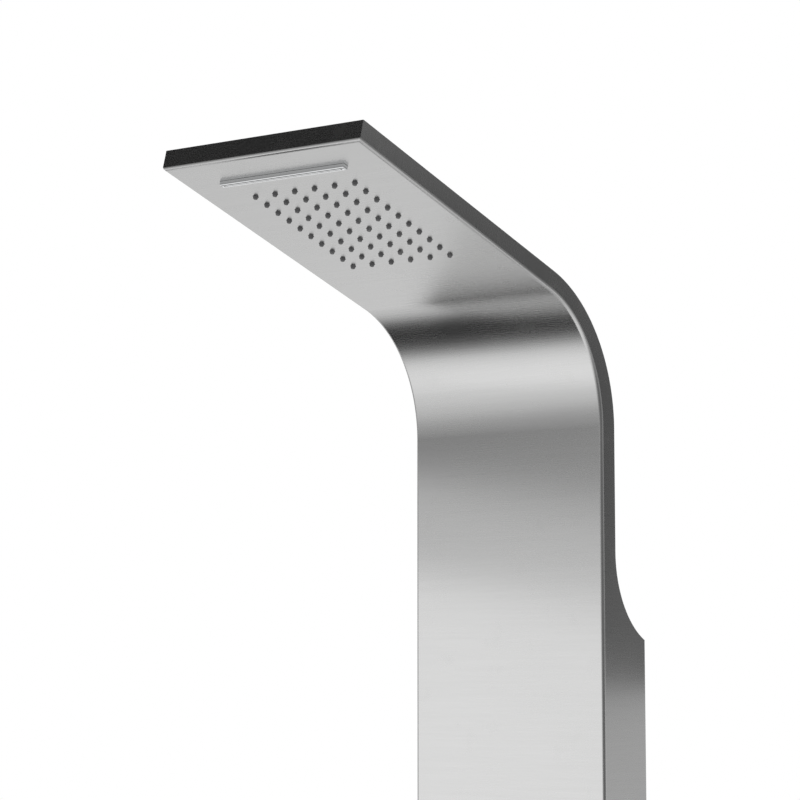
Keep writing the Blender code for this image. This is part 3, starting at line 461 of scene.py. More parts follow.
def sheetPlace(point):
    # how far along the folded sheet a point lies, and how far behind its face
    if point.z < bendZ:
        return point.z - bendZ, point.y - frontY
    away = point - bendCentre
    turned = math.atan2(away.z, away.y)
    if turned <= bendAngle:
        return body["bendRadius"] * turned, math.hypot(away.y, away.z) - body["bendRadius"]
    away = point - armRoot
    return body["bendRadius"] * bendAngle + away.dot(armAxis), away.dot(headUp)


def meshOf(shape):
    bmesh.ops.recalc_face_normals(shape, faces=shape.faces)
    mesh = bpy.data.meshes.new("shape")
    shape.to_mesh(mesh)
    shape.free()
    return mesh


def meshFrom(fill):
    shape = bmesh.new()
    fill(shape)
    return meshOf(shape)


def skin(shape, one, other):  # the faces between two rings, either of which may be a point
    for k in range(len(one)):
        n = (k + 1) % len(one)
        corner = [one[k], one[n], other[n], other[k]]
        corner = [v for i, v in enumerate(corner) if v not in corner[:i]]
        if len(corner) > 2:
            shape.faces.new(corner)


def link(name, mesh):
    made = bpy.data.objects.new(name, mesh)
    scene.collection.objects.link(made)
    return made


def carve(made, tools, frameOf=None):
    # each tool is (mesh, operation); all are used up
    helpers = []
    for mesh, operation in tools:
        if frameOf:
            mesh.transform(frameOf)
        helper = link("helper", mesh)
        helpers.append(helper)
        step = made.modifiers.new("carve", "BOOLEAN")
        step.operation = operation
        step.object = helper
        step.solver = "EXACT"
    settle(made)
    for helper in helpers:
        bpy.data.objects.remove(helper)


def settle(made):
    bpy.context.view_layer.update()
    graph = bpy.context.evaluated_depsgraph_get()
    mesh = bpy.data.meshes.new_from_object(made.evaluated_get(graph), depsgraph=graph)
    made.modifiers.clear()
    made.data = mesh


sharpAngle = math.radians(32)


def dress(made, bodyName, slotName, replaced=(), paintOf=None):
    mesh = made.data
    mesh.name = made.name
    mesh.materials.clear()
    mesh.materials.append(paintOf or finishes[slotName])
    mesh.shade_smooth()
    mesh.set_sharp_from_angle(angle=sharpAngle)
    smooth = made.modifiers.new("normals", "WEIGHTED_NORMAL")
    smooth.keep_sharp = True
    smooth.weight = 80
    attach(made, bodyName)
    if replaced:
        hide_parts(*replaced)
    return made


def addBox(shape, low, high):
    low, high = Vector(low), Vector(high)
    middle = Matrix.Translation((low + high) / 2)
    return bmesh.ops.create_cube(shape, size=1, matrix=middle @ Matrix.Diagonal((*(high - low), 1)))["verts"]


def addRod(shape, radius, start, end, sides):
    start, end = Vector(start), Vector(end)
    along = end - start
    turn = Vector((0, 0, 1)).rotation_difference(along).to_matrix().to_4x4()
    bmesh.ops.create_cone(
        shape,
        cap_ends=True,
        segments=sides,
        radius1=radius,
        radius2=radius,
        depth=along.length,
        matrix=Matrix.Translation((start + end) / 2) @ turn,
    )


def eased(points, closed=True, steps=5):
    # (radius, height, fillet) corners to a smooth (radius, height) line
    line = []
    for i, (x, y, fillet) in enumerate(points):
        here = Vector((x, y))
        if not fillet or (not closed and i in (0, len(points) - 1)):
            line.append(here)
            continue
        before = Vector(points[i - 1][:2]) - here
        after = Vector(points[(i + 1) % len(points)][:2]) - here
        half = before.angle(after) / 2
        reach = min(fillet / math.tan(half), before.length * 0.49, after.length * 0.49)
        start, end = here + before.normalized() * reach, here + after.normalized() * reach
        for k in range(steps + 1):
            t = k / steps
            line.append(start * (1 - t) ** 2 + here * 2 * t * (1 - t) + end * t * t)
    return line


def lathe(name, corners, place, steps=96, wave=None):
    # a shape turned about its frame's Z, with its grain laid as (round, up, out)
    onAxis = corners[0][0] == 0 and corners[-1][0] == 0
    line = eased(corners, closed=not onAxis)
    shape = bmesh.new()
    grain = shape.verts.layers.float_vector.new("grain")
    rings = []
    for radius, height in line:
        if radius < 1e-7:
            vert = shape.verts.new(place @ Vector((0, 0, height)))
            vert[grain] = (0, height, 0)
            rings.append([vert] * steps)
            continue
        ring = []
        for k in range(steps):
            angle = math.tau * k / steps
            real = radius + (wave(angle, height, radius) if wave else 0)
            spot = Vector((real * math.sin(angle), real * math.cos(angle), height))
            vert = shape.verts.new(place @ spot)
            vert[grain] = (angle * radius, height, real)
            ring.append(vert)
        rings.append(ring)
    pairs = list(zip(rings, rings[1:])) + ([] if onAxis else [(rings[-1], rings[0])])
    for one, other in pairs:
        skin(shape, one, other)
    return link(name, meshOf(shape))


def tube(name, points, radius, sides):
    # a tube along points, with its grain laid as (round, along, out)
    shape = bmesh.new()
    grain = shape.verts.layers.float_vector.new("grain")
    side = Vector((1, 0, 0))
    rings, run = [], 0.0
    for i, point in enumerate(points):
        ahead = (points[min(i + 1, len(points) - 1)] - points[max(i - 1, 0)]).normalized()
        side = (side - ahead * side.dot(ahead)).normalized()
        up = ahead.cross(side)
        run += (point - points[i - 1]).length if i else 0
        ring = []
        for k in range(sides):
            angle = math.tau * k / sides
            vert = shape.verts.new(point + radius * (side * math.cos(angle) + up * math.sin(angle)))
            vert[grain] = (angle * radius, run, radius)
            ring.append(vert)
        rings.append(ring)
    for one, other in zip(rings, rings[1:]):
        skin(shape, one, other)
    shape.faces.new(rings[0])
    shape.faces.new(rings[-1])
    return link(name, meshOf(shape))


def layGrain(made):
    # the brushing runs across the sheet, and on over its folds
    mesh = made.data
    if "grain" in mesh.attributes:
        mesh.attributes.remove(mesh.attributes["grain"])
    grain = mesh.attributes.new("grain", "FLOAT_VECTOR", "CORNER")
    places = [(v.co.x, *sheetPlace(v.co)) for v in mesh.vertices]
    for face in mesh.polygons:
        onSide = abs(face.normal.x) > 0.7
        endAxis = armAxis if face.center.z > bendZ else Vector((0, 0, 1))
        onEnd = not onSide and abs(face.normal.dot(endAxis)) > 0.9
        for corner in face.loop_indices:
            x, along, back = places[mesh.loops[corner].vertex_index]
            if onSide:
                spot = (math.copysign(halfWidth + back, x), along, 0)
            elif onEnd:
                spot = (x, along + back, 0)
            else:
                spot = (x, along, 0)
            grain.data[corner].vector = spot


print("panel")
nozzles = {
    "across": 6,
    "along": 10,
    "pitchAcross": 20.3 * mm,
    "pitchAlong": 16 * mm,
    "first": 64.3 * mm,
    "root": 2.3 * mm,
    "end": 1.7 * mm,
    "drop": 2.4 * mm,
    "bore": 0.55 * mm,
    "sides": 28,
}
spout = {
    "length": 126 * mm,
    "start": 31 * mm,
    "wide": 5.8 * mm,
    "drop": 4 * mm,
    "edge": 1.7 * mm,
    "slot": 0.5 * mm,
    "slotLength": 119 * mm,
    "eye": 0.7 * mm,
}
chamber = {"margin": 11 * mm, "wall": 2 * mm, "ear": 11 * mm, "earHeight": 6 * mm, "boss": 4 * mm}
fall = {"half": 86 * mm, "front": 14 * mm, "back": 46 * mm}
controls = {"temperature": -0.64166, "diverter": -0.51166, "collar": 15.3 * mm}
middleColumn = (nozzles["across"] - 1) / 2
nozzlePlaces = [
    ((column - middleColumn) * nozzles["pitchAcross"], nozzles["first"] + row * nozzles["pitchAlong"])
    for row in range(nozzles["along"])
    for column in range(nozzles["across"])
]
rainHalf = middleColumn * nozzles["pitchAcross"] + chamber["margin"]
rainFront = nozzles["first"] - chamber["margin"]
rainBack = nozzles["first"] + (nozzles["along"] - 1) * nozzles["pitchAlong"] + chamber["margin"]


def earPlaces(half, front, back, inset):
    across = half + chamber["ear"] / 2 - chamber["wall"] / 2
    return [(x, y) for x in (-across, across) for y in (front + inset, back - inset)]


allEars = earPlaces(rainHalf, rainFront, rainBack, 20 * mm)
allEars += earPlaces(fall["half"], fall["front"], fall["back"], 7.5 * mm)


def panelSurface(shape):
    pairs = stations()
    rows = []
    for front, back in pairs:
        across = [(-halfWidth, back), (-halfWidth, front), (halfWidth, front), (halfWidth, back)]
        rows.append([shape.verts.new((x, p.y, p.z)) for x, p in across])
    for one, other in zip(rows, rows[1:]):
        for i in range(3):
            shape.faces.new((one[i], one[i + 1], other[i + 1], other[i]))
    shape.faces.new(rows[0])
    shape.faces.new(rows[-1])
    bmesh.ops.recalc_face_normals(shape, faces=shape.faces)
    front = {v for row in rows for v in row[1:3]}
    folds = [e for e in shape.edges if front.issuperset(e.verts) and e.calc_face_angle(0) > math.radians(30)]
    bmesh.ops.bevel(
        shape,
        geom=folds,
        offset=body["fold"],
        offset_type="OFFSET",
        segments=6,
        profile=0.5,
        affect="EDGES",
        clamp_overlap=True,
    )


def thicken(made):
    thick = made.modifiers.new("sheet", "SOLIDIFY")
    thick.thickness = body["sheet"]
    thick.offset = -1
    thick.use_even_offset = True
    settle(made)


def makePanel():
    panel = link("panelSheet", meshFrom(panelSurface))
    thicken(panel)
    bossTop = chamber["earHeight"] - body["gap"]

    def bosses(shape):
        for x, y in allEars:
            addRod(shape, chamber["boss"], (x, y, body["sheet"] / 2), (x, y, bossTop), 24)

    def holes(shape):
        for x, y in allEars:
            addRod(shape, 2.1 * mm, (x, y, body["sheet"]), (x, y, bossTop + mm), 16)
        radius = nozzles["root"] + body["gap"]
        for x, y in nozzlePlaces:
            addRod(shape, radius, (x, y, -mm), (x, y, 2 * body["sheet"]), nozzles["sides"])
        half = spout["length"] / 2 + body["gap"]
        start, end = spout["start"] - body["gap"], spout["start"] + spout["wide"] + body["gap"]
        addBox(shape, (-half, start, -mm), (half, end, 2 * body["sheet"]))

    def portholes(shape):
        for z in (controls["temperature"], controls["diverter"]):
            addRod(shape, controls["collar"], (0, frontY - mm, z), (0, frontY + 2.4 * mm, z), 64)

    carve(panel, [(meshFrom(bosses), "UNION"), (meshFrom(holes), "DIFFERENCE")], headFrame)
    carve(panel, [(meshFrom(portholes), "DIFFERENCE")])
    layGrain(panel)
    return dress(panel, "column", "brushed_panel", ["panel_shell"])


def coverSurface(shape):
    lipDepth = 5 * mm
    tipInset = body["sheet"] + body["gap"]
    tops = [back for _, back in stations(0, tipInset)][1:]
    lips = [back for _, back in stations(lipDepth, tipInset)][1:]
    rows = []
    for top, lip in zip(tops, lips):
        across = [(-insideHalf, lip), (-insideHalf, top), (insideHalf, top), (insideHalf, lip)]
        rows.append([shape.verts.new((x, p.y, p.z)) for x, p in across])
    for one, other in zip(rows, rows[1:]):
        for i in range(3):
            shape.faces.new((one[i], other[i], other[i + 1], one[i + 1]))
    folds = [e for e in shape.edges if len(e.link_faces) == 2 and e.calc_face_angle() > math.radians(30)]
    bmesh.ops.bevel(
        shape, geom=folds, offset=1.8 * mm, offset_type="OFFSET", segments=4, profile=0.5, affect="EDGES"
    )


coverScrews = {"inset": 6.2 * mm, "headBack": 26 * mm, "neckUp": 40 * mm}


def makeCover():
    cover = link("headCover", meshFrom(coverSurface))
    thicken(cover)

    def holes(shape):
        for side in (-1, 1):
            x = side * (insideHalf - coverScrews["inset"])
            y = body["arm"] - coverScrews["headBack"]
            start = headFrame @ Vector((x, y, body["headDepth"] + mm))
            addRod(shape, 2 * mm, start, start - headUp * 5 * mm, 20)
            y, z = frontY + body["neckDepth"], neckFoot + coverScrews["neckUp"]
            addRod(shape, 2 * mm, (x, y + mm, z), (x, y - 4 * mm, z), 20)

    carve(cover, [(meshFrom(holes), "DIFFERENCE")])
    layGrain(cover)
    return dress(cover, "column", "brushed_cover", ["head_top_cover"])


panel = makePanel()
cover = makeCover()

print("rain head")


def makeMat():
    low = body["sheet"] + body["gap"]
    high = low + 1.6 * mm
    half = rainHalf - mm

    def plate(shape):
        addBox(shape, (-half, rainFront + mm, low), (half, rainBack - mm, high))
        bmesh.ops.bevel(shape, geom=shape.edges[:], offset=0.3 * mm, segments=2, affect="EDGES")

    def cones(shape):
        sides = nozzles["sides"]
        drop, root, end = nozzles["drop"], nozzles["root"], nozzles["end"]
        levels = [
            (root, low + 0.8 * mm),
            (root, 0.1 * mm),
            (root * 0.97, -0.15 * mm),
            (end * 1.1, -drop + 0.55 * mm),
            (end, -drop + 0.25 * mm),
            (end * 0.9, -drop + 0.07 * mm),
            (end * 0.74, -drop),
        ]
        angles = [math.tau * k / sides for k in range(sides)]
        for x, y in nozzlePlaces:
            rings = []
            for radius, z in levels:
                spots = [(x + radius * math.cos(a), y + radius * math.sin(a), z) for a in angles]
                rings.append([shape.verts.new(spot) for spot in spots])
            for one, other in zip(rings, rings[1:]):
                skin(shape, one, other)
            shape.faces.new(rings[0])
            shape.faces.new(rings[-1])

    def bores(shape):
        for x, y in nozzlePlaces:
            addRod(shape, nozzles["bore"], (x, y, -2 * mm), (x, y, high + mm), 12)

    mat = link("nozzleMat", meshFrom(plate))
    mat.data.transform(headFrame)
    carve(mat, [(meshFrom(cones), "UNION"), (meshFrom(bores), "DIFFERENCE")], headFrame)
    return dress(mat, "column", "silicone", ["nozzle_mat"])


def makeSpout():
    bottom, thick = body["sheet"] + body["gap"], 1.6 * mm
    half, start, end = spout["length"] / 2, spout["start"], spout["start"] + spout["wide"]
    middle = (start + end) / 2

    def bar(shape):
        addBox(shape, (-half, start, -spout["drop"]), (half, end, bottom + thick / 2))
        low = [e for e in shape.edges if all(v.co.z < 0 for v in e.verts)]
        settings = {"offset_type": "OFFSET", "segments": 5, "profile": 0.5, "affect": "EDGES"}
        bmesh.ops.bevel(shape, geom=low, offset=spout["edge"], **settings)

    def flange(shape):
        reach = fall["half"] - mm
        addBox(shape, (-reach, fall["front"] + mm, bottom), (reach, fall["back"] - mm, bottom + thick))

    def slot(shape):
        reach, width = spout["slotLength"] / 2, spout["slot"] / 2
        low = (-reach, middle - width, -spout["drop"] - mm)
        addBox(shape, low, (reach, middle + width, bottom + 2 * thick))

    def eyes(shape):
        for x in (-spout["slotLength"] / 2, spout["slotLength"] / 2):
            addRod(shape, spout["eye"], (x, middle, -spout["drop"] - mm), (x, middle, bottom + 2 * thick), 24)

    made = link("waterfallBar", meshFrom(bar))
    made.data.transform(headFrame)
    tools = [(meshFrom(flange), "UNION"), (meshFrom(slot), "DIFFERENCE"), (meshFrom(eyes), "DIFFERENCE")]
    carve(made, tools, headFrame)
    return dress(made, "column", "spout_chrome", ["waterfall_spout"])


mat = makeMat()
bar = makeSpout()

print("controls")
knobs = {
    "radius": 24 * mm,
    "foot": 4 * mm,
    "front": 34 * mm,
    "wall": 2.8 * mm,
    "hub": 8 * mm,
    "bore": 4.2 * mm,
    "screw": 2.3 * mm,
    "roof": 27 * mm,
    "hubFoot": 12 * mm,
    "seat": 32 * mm,
    "capRadius": 10 * mm,
    "flutes": 30,
    "fluteDepth": 0.55 * mm,
    "gripFrom": 8.5 * mm,
    "gripTo": 29 * mm,
}


def grip(angle, height, radius):
    if radius < knobs["radius"] - 0.01 * mm:
        return 0.0
    low, high = knobs["gripFrom"], knobs["gripTo"]
    inside = max(0.0, min(1.0, (height - low) / (2 * mm))) * max(0.0, min(1.0, (high - height) / (2 * mm)))
    inside = inside * inside * (3 - 2 * inside)
    cup = 0.5 - 0.5 * math.cos(knobs["flutes"] * angle)
    return -knobs["fluteDepth"] * inside * cup**1.5


def makeKnob(word):
    place = controlFrame(controls[word])
    r, seat, pocket = knobs["radius"], knobs["seat"], knobs["seat"] - 2.5 * mm
    grid = [(r, knobs["gripTo"] + 2 * mm - i * 1.0 * mm, 0) for i in range(25)]
    corners = [
        (r - 4.2 * mm, knobs["front"], 0),
        (r - 4.2 * mm, knobs["front"] - 0.25 * mm, 0),
        (r - 3.9 * mm, knobs["front"] - 0.25 * mm, 0),
        (r - 3.9 * mm, knobs["front"], 0),
        (r, knobs["front"], 1.3 * mm),
        *grid,
        (r, knobs["foot"], 0.6 * mm),
        (r - knobs["wall"], knobs["foot"], 0.4 * mm),
        (r - knobs["wall"], knobs["roof"], 1 * mm),
        (knobs["hub"], knobs["roof"], 1 * mm),
        (knobs["hub"], knobs["hubFoot"], 0.3 * mm),
        (knobs["bore"], knobs["hubFoot"], 0.3 * mm),
        (knobs["bore"], knobs["roof"], 0),
        (knobs["screw"], knobs["roof"], 0),
        (knobs["screw"], pocket, 0),
        (4 * mm, pocket, 0),
        (4 * mm, seat, 0),
        (knobs["capRadius"], seat, 0),
        (knobs["capRadius"], knobs["front"], 0.35 * mm),
    ]
    return lathe(word + "Knob", corners, place, 240, grip)


trim = {"bore": 21 * mm, "radius": 32 * mm, "back": 0.3 * mm, "front": 3.3 * mm}
caps = {"radius": 9.7 * mm, "dome": 0.35 * mm, "rim": 0.6 * mm}
button = {
    "radius": 4 * mm,
    "shoulder": 5 * mm,
    "middle": 18.5 * mm,
    "proud": 2.2 * mm,
    "running": 0.3 * mm,
    "travel": 2 * mm,
}


def makeControls():
    for word in ("temperature", "diverter"):
        place = controlFrame(controls[word])
        knob = makeKnob(word)
        if word == "temperature":
            skirt = knobs["radius"] - knobs["wall"]

            def buttonHole(shape):
                start = (0, skirt - 3 * mm, button["middle"])
                end = (0, knobs["radius"] + mm, button["middle"])
                addRod(shape, button["radius"] + button["running"], start, end, 40)

            carve(knob, [(meshFrom(buttonHole), "DIFFERENCE")], place)
        dress(knob, word + "_control", "control_chrome", [word + "_knob"])
        ringCorners = [
            (trim["bore"], trim["back"], 0),
            (trim["bore"], trim["front"], 0.3 * mm),
            (trim["radius"] - 1.4 * mm, trim["front"], 0.8 * mm),
            (trim["radius"], trim["front"] - 1.1 * mm, 0.5 * mm),
            (trim["radius"], trim["back"], 0.1 * mm),
        ]
        ring = lathe(word + "Ring", ringCorners, place, 144)

        def scale(shape, word=word):
            wanted = range(-180, 61, ringMarks["every"]) if word == "temperature" else (-90, 0, 90)
            for degrees in wanted:
                long = degrees % 45 == 0 or word == "diverter"
                half, start = ringMarks["wide"] / 2, ringMarks["long" if long else "short"]
                low = (-half, start, ringMarks["ink"] - 0.15 * mm)
                verts = addBox(shape, low, (half, ringMarks["outer"], 5 * mm))
                bmesh.ops.rotate(shape, verts=verts, matrix=Matrix.Rotation(math.radians(-degrees), 3, "Z"))

        carve(ring, [(meshFrom(scale), "DIFFERENCE")], place)
        dress(ring, "column", "control_chrome", [word + "_trim_ring"], scaleChrome)
        capCorners = [
            (0, knobs["front"] + caps["dome"], 0),
            (4 * mm, knobs["front"] + 0.3 * mm, 3 * mm),
            (9.2 * mm, knobs["front"] - 0.15 * mm, 0.5 * mm),
            (caps["radius"], knobs["front"] - caps["rim"], 0.3 * mm),
            (caps["radius"], knobs["seat"] + body["gap"], 0.2 * mm),
            (0, knobs["seat"] + body["gap"], 0),
        ]
        cap = lathe(word + "Cap", capCorners, place, 96)
        dress(cap, word + "_control", "knob_cap", [word + "_knob_cap"])


makeControls()
sideways = Matrix.Rotation(-math.pi / 2, 4, "X")
pinPlace = controlFrame(controls["diverter"]) @ Matrix.Translation((0, 0, 19 * mm)) @ sideways
pin = {"radius": 2.8 * mm, "neck": 2.3 * mm, "foot": 22.6 * mm, "end": 36 * mm}
pinCorners = [
    (0, pin["end"], 0),
    (pin["radius"], pin["end"], 1.6 * mm),
    (pin["radius"], 27.5 * mm, 0.8 * mm),
    (pin["neck"], 26.2 * mm, 0.6 * mm),
    (pin["radius"], 25 * mm, 0.6 * mm),
    (pin["radius"], pin["foot"], 0),
    (0, pin["foot"], 0),
]
dress(lathe("diverterPin", pinCorners, pinPlace, 40), "diverter_control", "control_chrome")

skirtInside = math.sqrt((knobs["radius"] - knobs["wall"]) ** 2 - button["shoulder"] ** 2)
shoulder = skirtInside - button["running"]
buttonFoot = shoulder - 3 * mm
buttonTop = knobs["radius"] + button["proud"]
buttonPlace = controlFrame(controls["temperature"]) @ Matrix.Translation((0, 0, button["middle"])) @ sideways
buttonCorners = [
    (0, buttonTop - 0.25 * mm, 0),
    (2.4 * mm, buttonTop - 0.25 * mm, 1.2 * mm),
    (3.0 * mm, buttonTop, 0.3 * mm),
    (button["radius"], buttonTop, 0.7 * mm),
    (button["radius"], shoulder, 0.2 * mm),
    (button["shoulder"], shoulder, 0.3 * mm),
    (button["shoulder"], buttonFoot, 0.3 * mm),
    (0, buttonFoot, 0),
]
safetyButton = lathe("safetyButton", buttonCorners, buttonPlace, 48)
dress(safetyButton, "safety_button", "button_red", ["safety_button"])


def makeSpring():
    coil = {"turns": 4, "radius": 2.6 * mm, "wire": 0.3 * mm, "steps": 40}
    low, high = knobs["hub"] + body["gap"], buttonFoot - body["gap"]
    count = coil["turns"] * coil["steps"]
    rise = high - low - 2 * coil["wire"]
    place = controlFrame(controls["temperature"])
    points = []
    for i in range(count + 1):
        angle = math.tau * i / coil["steps"]
        along = low + coil["wire"] + rise * i / count
        spot = (coil["radius"] * math.cos(angle), along, button["middle"] + coil["radius"] * math.sin(angle))
        points.append(place @ Vector(spot))
    spring = tube("buttonSpring", points, coil["wire"], 12)
    dress(spring, "temperature_control", "zinc_plate", ["button_spring"])
    foot = controls["temperature"] + low
    keep = 1 - button["travel"] / (high - low)
    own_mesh(spring)


makeSpring()

print("hoses")
hoses = {
    "radius": 5.5 * mm,
    "offset": 8.6 * mm,
    "ferruleRadius": 6.7 * mm,
    "ferrule": 17 * mm,
    "outletTop": -0.47166,
    "outletBack": 30 * mm,
    "spigot": 14 * mm,
}


def throughPoints(points, step):
    padded = [points[0] * 2 - points[1], *points, points[-1] * 2 - points[-2]]
    fine = []
    for before, start, end, after in zip(padded, padded[1:], padded[2:], padded[3:]):
        for i in range(16):
            t = i / 16
            bent = 2 * start + (end - before) * t + (2 * before - 5 * start + 4 * end - after) * t * t
            fine.append(0.5 * (bent + (3 * start - before - 3 * end + after) * t**3))
    fine.append(points[-1])
    run = [0.0]
    for a, b in zip(fine, fine[1:]):
        run.append(run[-1] + (b - a).length)
    count, k, chosen = round(run[-1] / step), 0, []
    for i in range(count + 1):
        target = run[-1] * i / count
        while k < len(run) - 2 and run[k + 1] < target:
            k += 1
        chosen.append(fine[k].lerp(fine[k + 1], min(1.0, (target - run[k]) / (run[k + 1] - run[k]))))
    return chosen


def hoseRoute(start, x, endY):
    neckY = frontY + hoses["offset"]
    climb = neckFoot - start.z
    drift = Vector((x - start.x, neckY - start.y, 0))
    points = [start, start + Vector((0, 0, 30 * mm))]
    for share in (0.2, 0.35, 0.5, 0.65, 0.8):
        points.append(start + drift * (share * share * (3 - 2 * share)) + Vector((0, 0, climb * share)))
    points += [Vector((x, neckY, z)) for z in (neckFoot, neckFoot + body["neck"] * 0.6)]
    for i in range(5):
        bent = bendPoint(bendAngle * i / 4, hoses["offset"])
        points.append(Vector((x, bent.y, bent.z)))
    run = body["arm"] - endY
    points += [headFrame @ Vector((x, body["arm"] - run * share, hoses["offset"])) for share in (0.4, 1)]
    return points


def ferruleCorners(length):
    inner, outer = hoses["radius"] + 0.3 * mm, hoses["ferruleRadius"]
    corners = [(inner, 0, 0), (outer, 0, 0.4 * mm)]
    for i in range(3):
        low = (3 + i * 4) * mm
        corners += [
            (outer, low, 0.4 * mm),
            (outer - 0.45 * mm, low + 0.7 * mm, 0.4 * mm),
            (outer - 0.45 * mm, low + 1.5 * mm, 0.4 * mm),
            (outer, low + 2.2 * mm, 0.4 * mm),
        ]
    return corners + [(outer, length, 0.4 * mm), (inner, length, 0)]


def makeHose(word, outletX, x, spigotEnd):
    outlet = Vector((outletX, frontY + hoses["outletBack"], hoses["outletTop"]))
    start = outlet + Vector((0, 0, body["gap"]))
    points = throughPoints(hoseRoute(start, x, spigotEnd + body["gap"]), 9 * mm)
    made = tube(word + "Hose", points, hoses["radius"], 28)
    dress(made, "column", "braid", [word + "_hose"])
    lower = Matrix.Translation(outlet + Vector((0, 0, 2 * body["gap"])))
    upper = headFrame @ Matrix.Translation((x, spigotEnd, hoses["offset"])) @ sideways
    for end, place in (("lower", lower), ("upper", upper)):
        ferrule = lathe(word + end.capitalize() + "Ferrule", ferruleCorners(hoses["ferrule"]), place, 48)
        dress(ferrule, "column", "crimp_ferrule", [f"{word}_hose_{end}_ferrule"])


makeHose("rain", -30 * mm, -30 * mm, rainBack + hoses["spigot"])
makeHose("waterfall", 30 * mm, 80 * mm, fall["back"] + hoses["spigot"])

print("screws")
screwLook = {"head": 3.4 * mm, "height": 1.4 * mm, "shank": 1.7 * mm, "length": 6 * mm, "cross": 0.5 * mm}


def makeCoverScrew(name, place, node):
    head, height, shank = screwLook["head"], screwLook["height"], screwLook["shank"]
    corners = [
        (0, height, 0),
        (head * 0.62, height, 0.5 * mm),
        (head, height * 0.42, 0.5 * mm),
        (head, 0, 0.1 * mm),
        (shank, 0, 0.2 * mm),
        (shank, -screwLook["length"], 0.4 * mm),
        (0, -screwLook["length"], 0),
    ]
    made = lathe(name, corners, place, 40)

    def slot(across, along):
        def fill(shape):
            addBox(shape, (-across, -along, height - 0.8 * mm), (across, along, height + mm))

        return meshFrom(fill)

    half, reach = screwLook["cross"], head * 0.55
    carve(made, [(slot(half, reach), "DIFFERENCE"), (slot(reach, half), "DIFFERENCE")], place)
    dress(made, "column", "cover_screw", [node])


neckFrame = Matrix.Translation((0, frontY, neckFoot + coverScrews["neckUp"])) @ sideways
seatGap = body["gap"] / 2
for side, word in ((-1, "left"), (1, "right")):
    x = side * (insideHalf - coverScrews["inset"])
    headY = body["arm"] - coverScrews["headBack"]
    headSeat = headFrame @ Matrix.Translation((x, headY, body["headDepth"] + seatGap))
    neckSeat = neckFrame @ Matrix.Translation((x, 0, body["neckDepth"] + seatGap))
    makeCoverScrew("headScrew" + word.capitalize(), headSeat, f"head_cover_screw_{word}")
    makeCoverScrew("neckScrew" + word.capitalize(), neckSeat, f"neck_cover_screw_{word}")

print("carried-over nodes")
softened = {
    "valve_body": 0.9 * mm,
    "upper_wall_bracket": 0.4 * mm,
    "lower_wall_bracket": 0.4 * mm,
    "upper_hanger_rail": 0.4 * mm,
    "lower_hanger_rail": 0.4 * mm,
    "rain_hose_nut": 0.5 * mm,
    "waterfall_hose_nut": 0.5 * mm,
    "rain_chamber": 0.5 * mm,
    "waterfall_chamber": 0.5 * mm,
}
slotOf = {entry["node"]: entry["material_slot"] for entry in frame["record"]["subparts"]}
for name, node in nodes.items():
    if node.hide_render:
        continue
    for holder in node.material_slots:
        holder.material = finishes[slotOf[name]]
    if name in softened:
        weld = node.modifiers.new("weld", "WELD")
        weld.merge_threshold = 0.00001
        edge = node.modifiers.new("edge", "BEVEL")
        edge.width = softened[name]
        edge.segments = 3
        edge.limit_method = "ANGLE"
        edge.angle_limit = math.radians(38)
        edge.use_clamp_overlap = True
        normals = node.modifiers.new("normals", "WEIGHTED_NORMAL")
        normals.keep_sharp = False

print("light and floor")
studio = {
    "floor": bottomZ - 2.2,  # low enough to look up at the column from over it
    "level": 0.43,  # what metal mirrors level with it
    "below": 0.97,
    "above": 0.85,
    "soft": 0.82,  # what lights everything that isn't a mirror
    "glows": [  # added light: direction, degrees to its full strength, degrees to its edge, strength
        ((-0.6, 0.58, -0.55), 10, 38, 0.39),
        ((-0.58, -0.64, -0.5), 5, 26, 0.2),
    ],
    "flags": [  # dark flags: direction, degrees to the full dark, degrees to its edge, strength
        ((-0.53, 0.03, -0.847), 10, 25, 1.0),
        ((-0.53, 0.36, -0.77), 0, 30, 0.4),
                ((-0.1, 0.51, -0.87), 6, 22, 0.7),
        ((0.4, 0.55, -0.74), 12, 40, 0.5),
        ((-0.6, -0.55, 0.58), 17, 36, 0.995),
        ((0.57, 0.81, 0.05), 14, 42, 0.4),
        ((0.57, 0.81, 0.12), 3, 12, 1.0),
        ((0.8, -0.55, 0.0), 20, 58, 0.62),
    ],
}


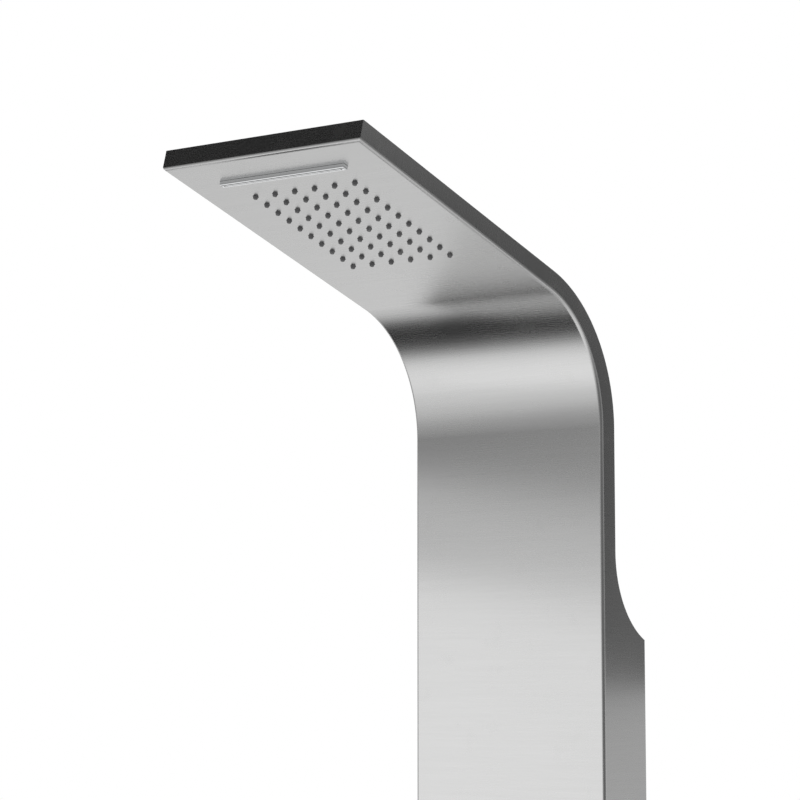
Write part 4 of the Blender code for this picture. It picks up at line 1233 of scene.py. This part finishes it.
def makeWorld():
    world = bpy.data.worlds.new("studio")
    scene.world = world
    world.use_nodes = True
    paint = Paint(world.node_tree)
    back = world.node_tree.nodes["Background"]
    back.inputs["Color"].default_value = (1, 1, 1, 1)
    way = paint.add("ShaderNodeTexCoord", None, None, "Generated")
    up = paint.parts(way)[2]
    level = paint.shape(up, -0.7, -0.3, studio["below"], studio["level"])
    sky = paint.shape(up, 0.16, 0.62, 0, studio["above"] - studio["level"])
    glow = level + sky

    def patch(direction, inner, outer, strength):
        towards = tuple(Vector(direction).normalized())
        sockets = {0: way, 1: towards}
        facing = paint.add("ShaderNodeVectorMath", {"operation": "DOT_PRODUCT"}, sockets, "Value")
        return paint.shape(facing, math.cos(math.radians(outer)), math.cos(math.radians(inner)), 0, strength)

    for spot in studio["glows"]:
        glow = glow + patch(*spot)
    for spot in studio["flags"]:
        glow = glow * (1 - patch(*spot))
    path = paint.tree.nodes.new("ShaderNodeLightPath")
    seen = Wire(paint, path.outputs["Is Camera Ray"])
    soft = Wire(paint, path.outputs["Is Diffuse Ray"])
    glow = glow * (1 - soft) + soft * studio["soft"]
    glow = glow * (1 - seen) + seen * 1.0
    paint.join(glow, back, "Strength")


def makeLight(name, place, target, size, power, glossy, roll=0, spread=180):
    data = bpy.data.lights.new(name, "AREA")
    data.shape = "RECTANGLE"
    data.size, data.size_y = size
    data.energy = power
    data.spread = math.radians(spread)
    made = bpy.data.objects.new(name, data)
    made.location = place
    aim = (Vector(target) - Vector(place)).to_track_quat("-Z", "Y").to_matrix()
    made.rotation_euler = (aim @ Matrix.Rotation(math.radians(roll), 3, "Z")).to_euler()
    made.visible_glossy = glossy
    made.visible_camera = False
    scene.collection.objects.link(made)
    return made


def makeFloor():
    def plane(shape):
        bmesh.ops.create_grid(shape, x_segments=2, y_segments=2, size=12)

    floor = link("floor", meshFrom(plane))
    floor.location.z = studio["floor"]
    look, paint, shader = finish("floorPaint", (0.86, 0.86, 0.855), 0.8, 0)
    mottle = paint.noise(ownPlace(paint), 3, 3)
    paint.join(paint.blend(mottle, (0.84, 0.84, 0.835, 1), (0.87, 0.87, 0.865, 1)), shader, "Base Color")
    floor.data.materials.append(look)
    floor.visible_glossy = False


makeWorld()
makeFloor()
makeLight("top", (-0.9, -1.6, 2.4), (0, -0.2, 0), (1.6, 1.6), 30, False)
makeLight("highCard", (-0.171, -0.317, -0.43), (0, -0.074, -0.43), (1.3, 1.3), 0.45, True, -7, 85)
makeLight("lowCard", (-0.172, -0.318, -0.53), (0, -0.074, -0.53), (1.3, 1.3), 0.45, True, -7, 85)
makeLight("sideCard", (0.271, 0.213, -0.53), (0.1, -0.03, -0.53), (0.9, 1.1), 0.7, True, 0, 150)
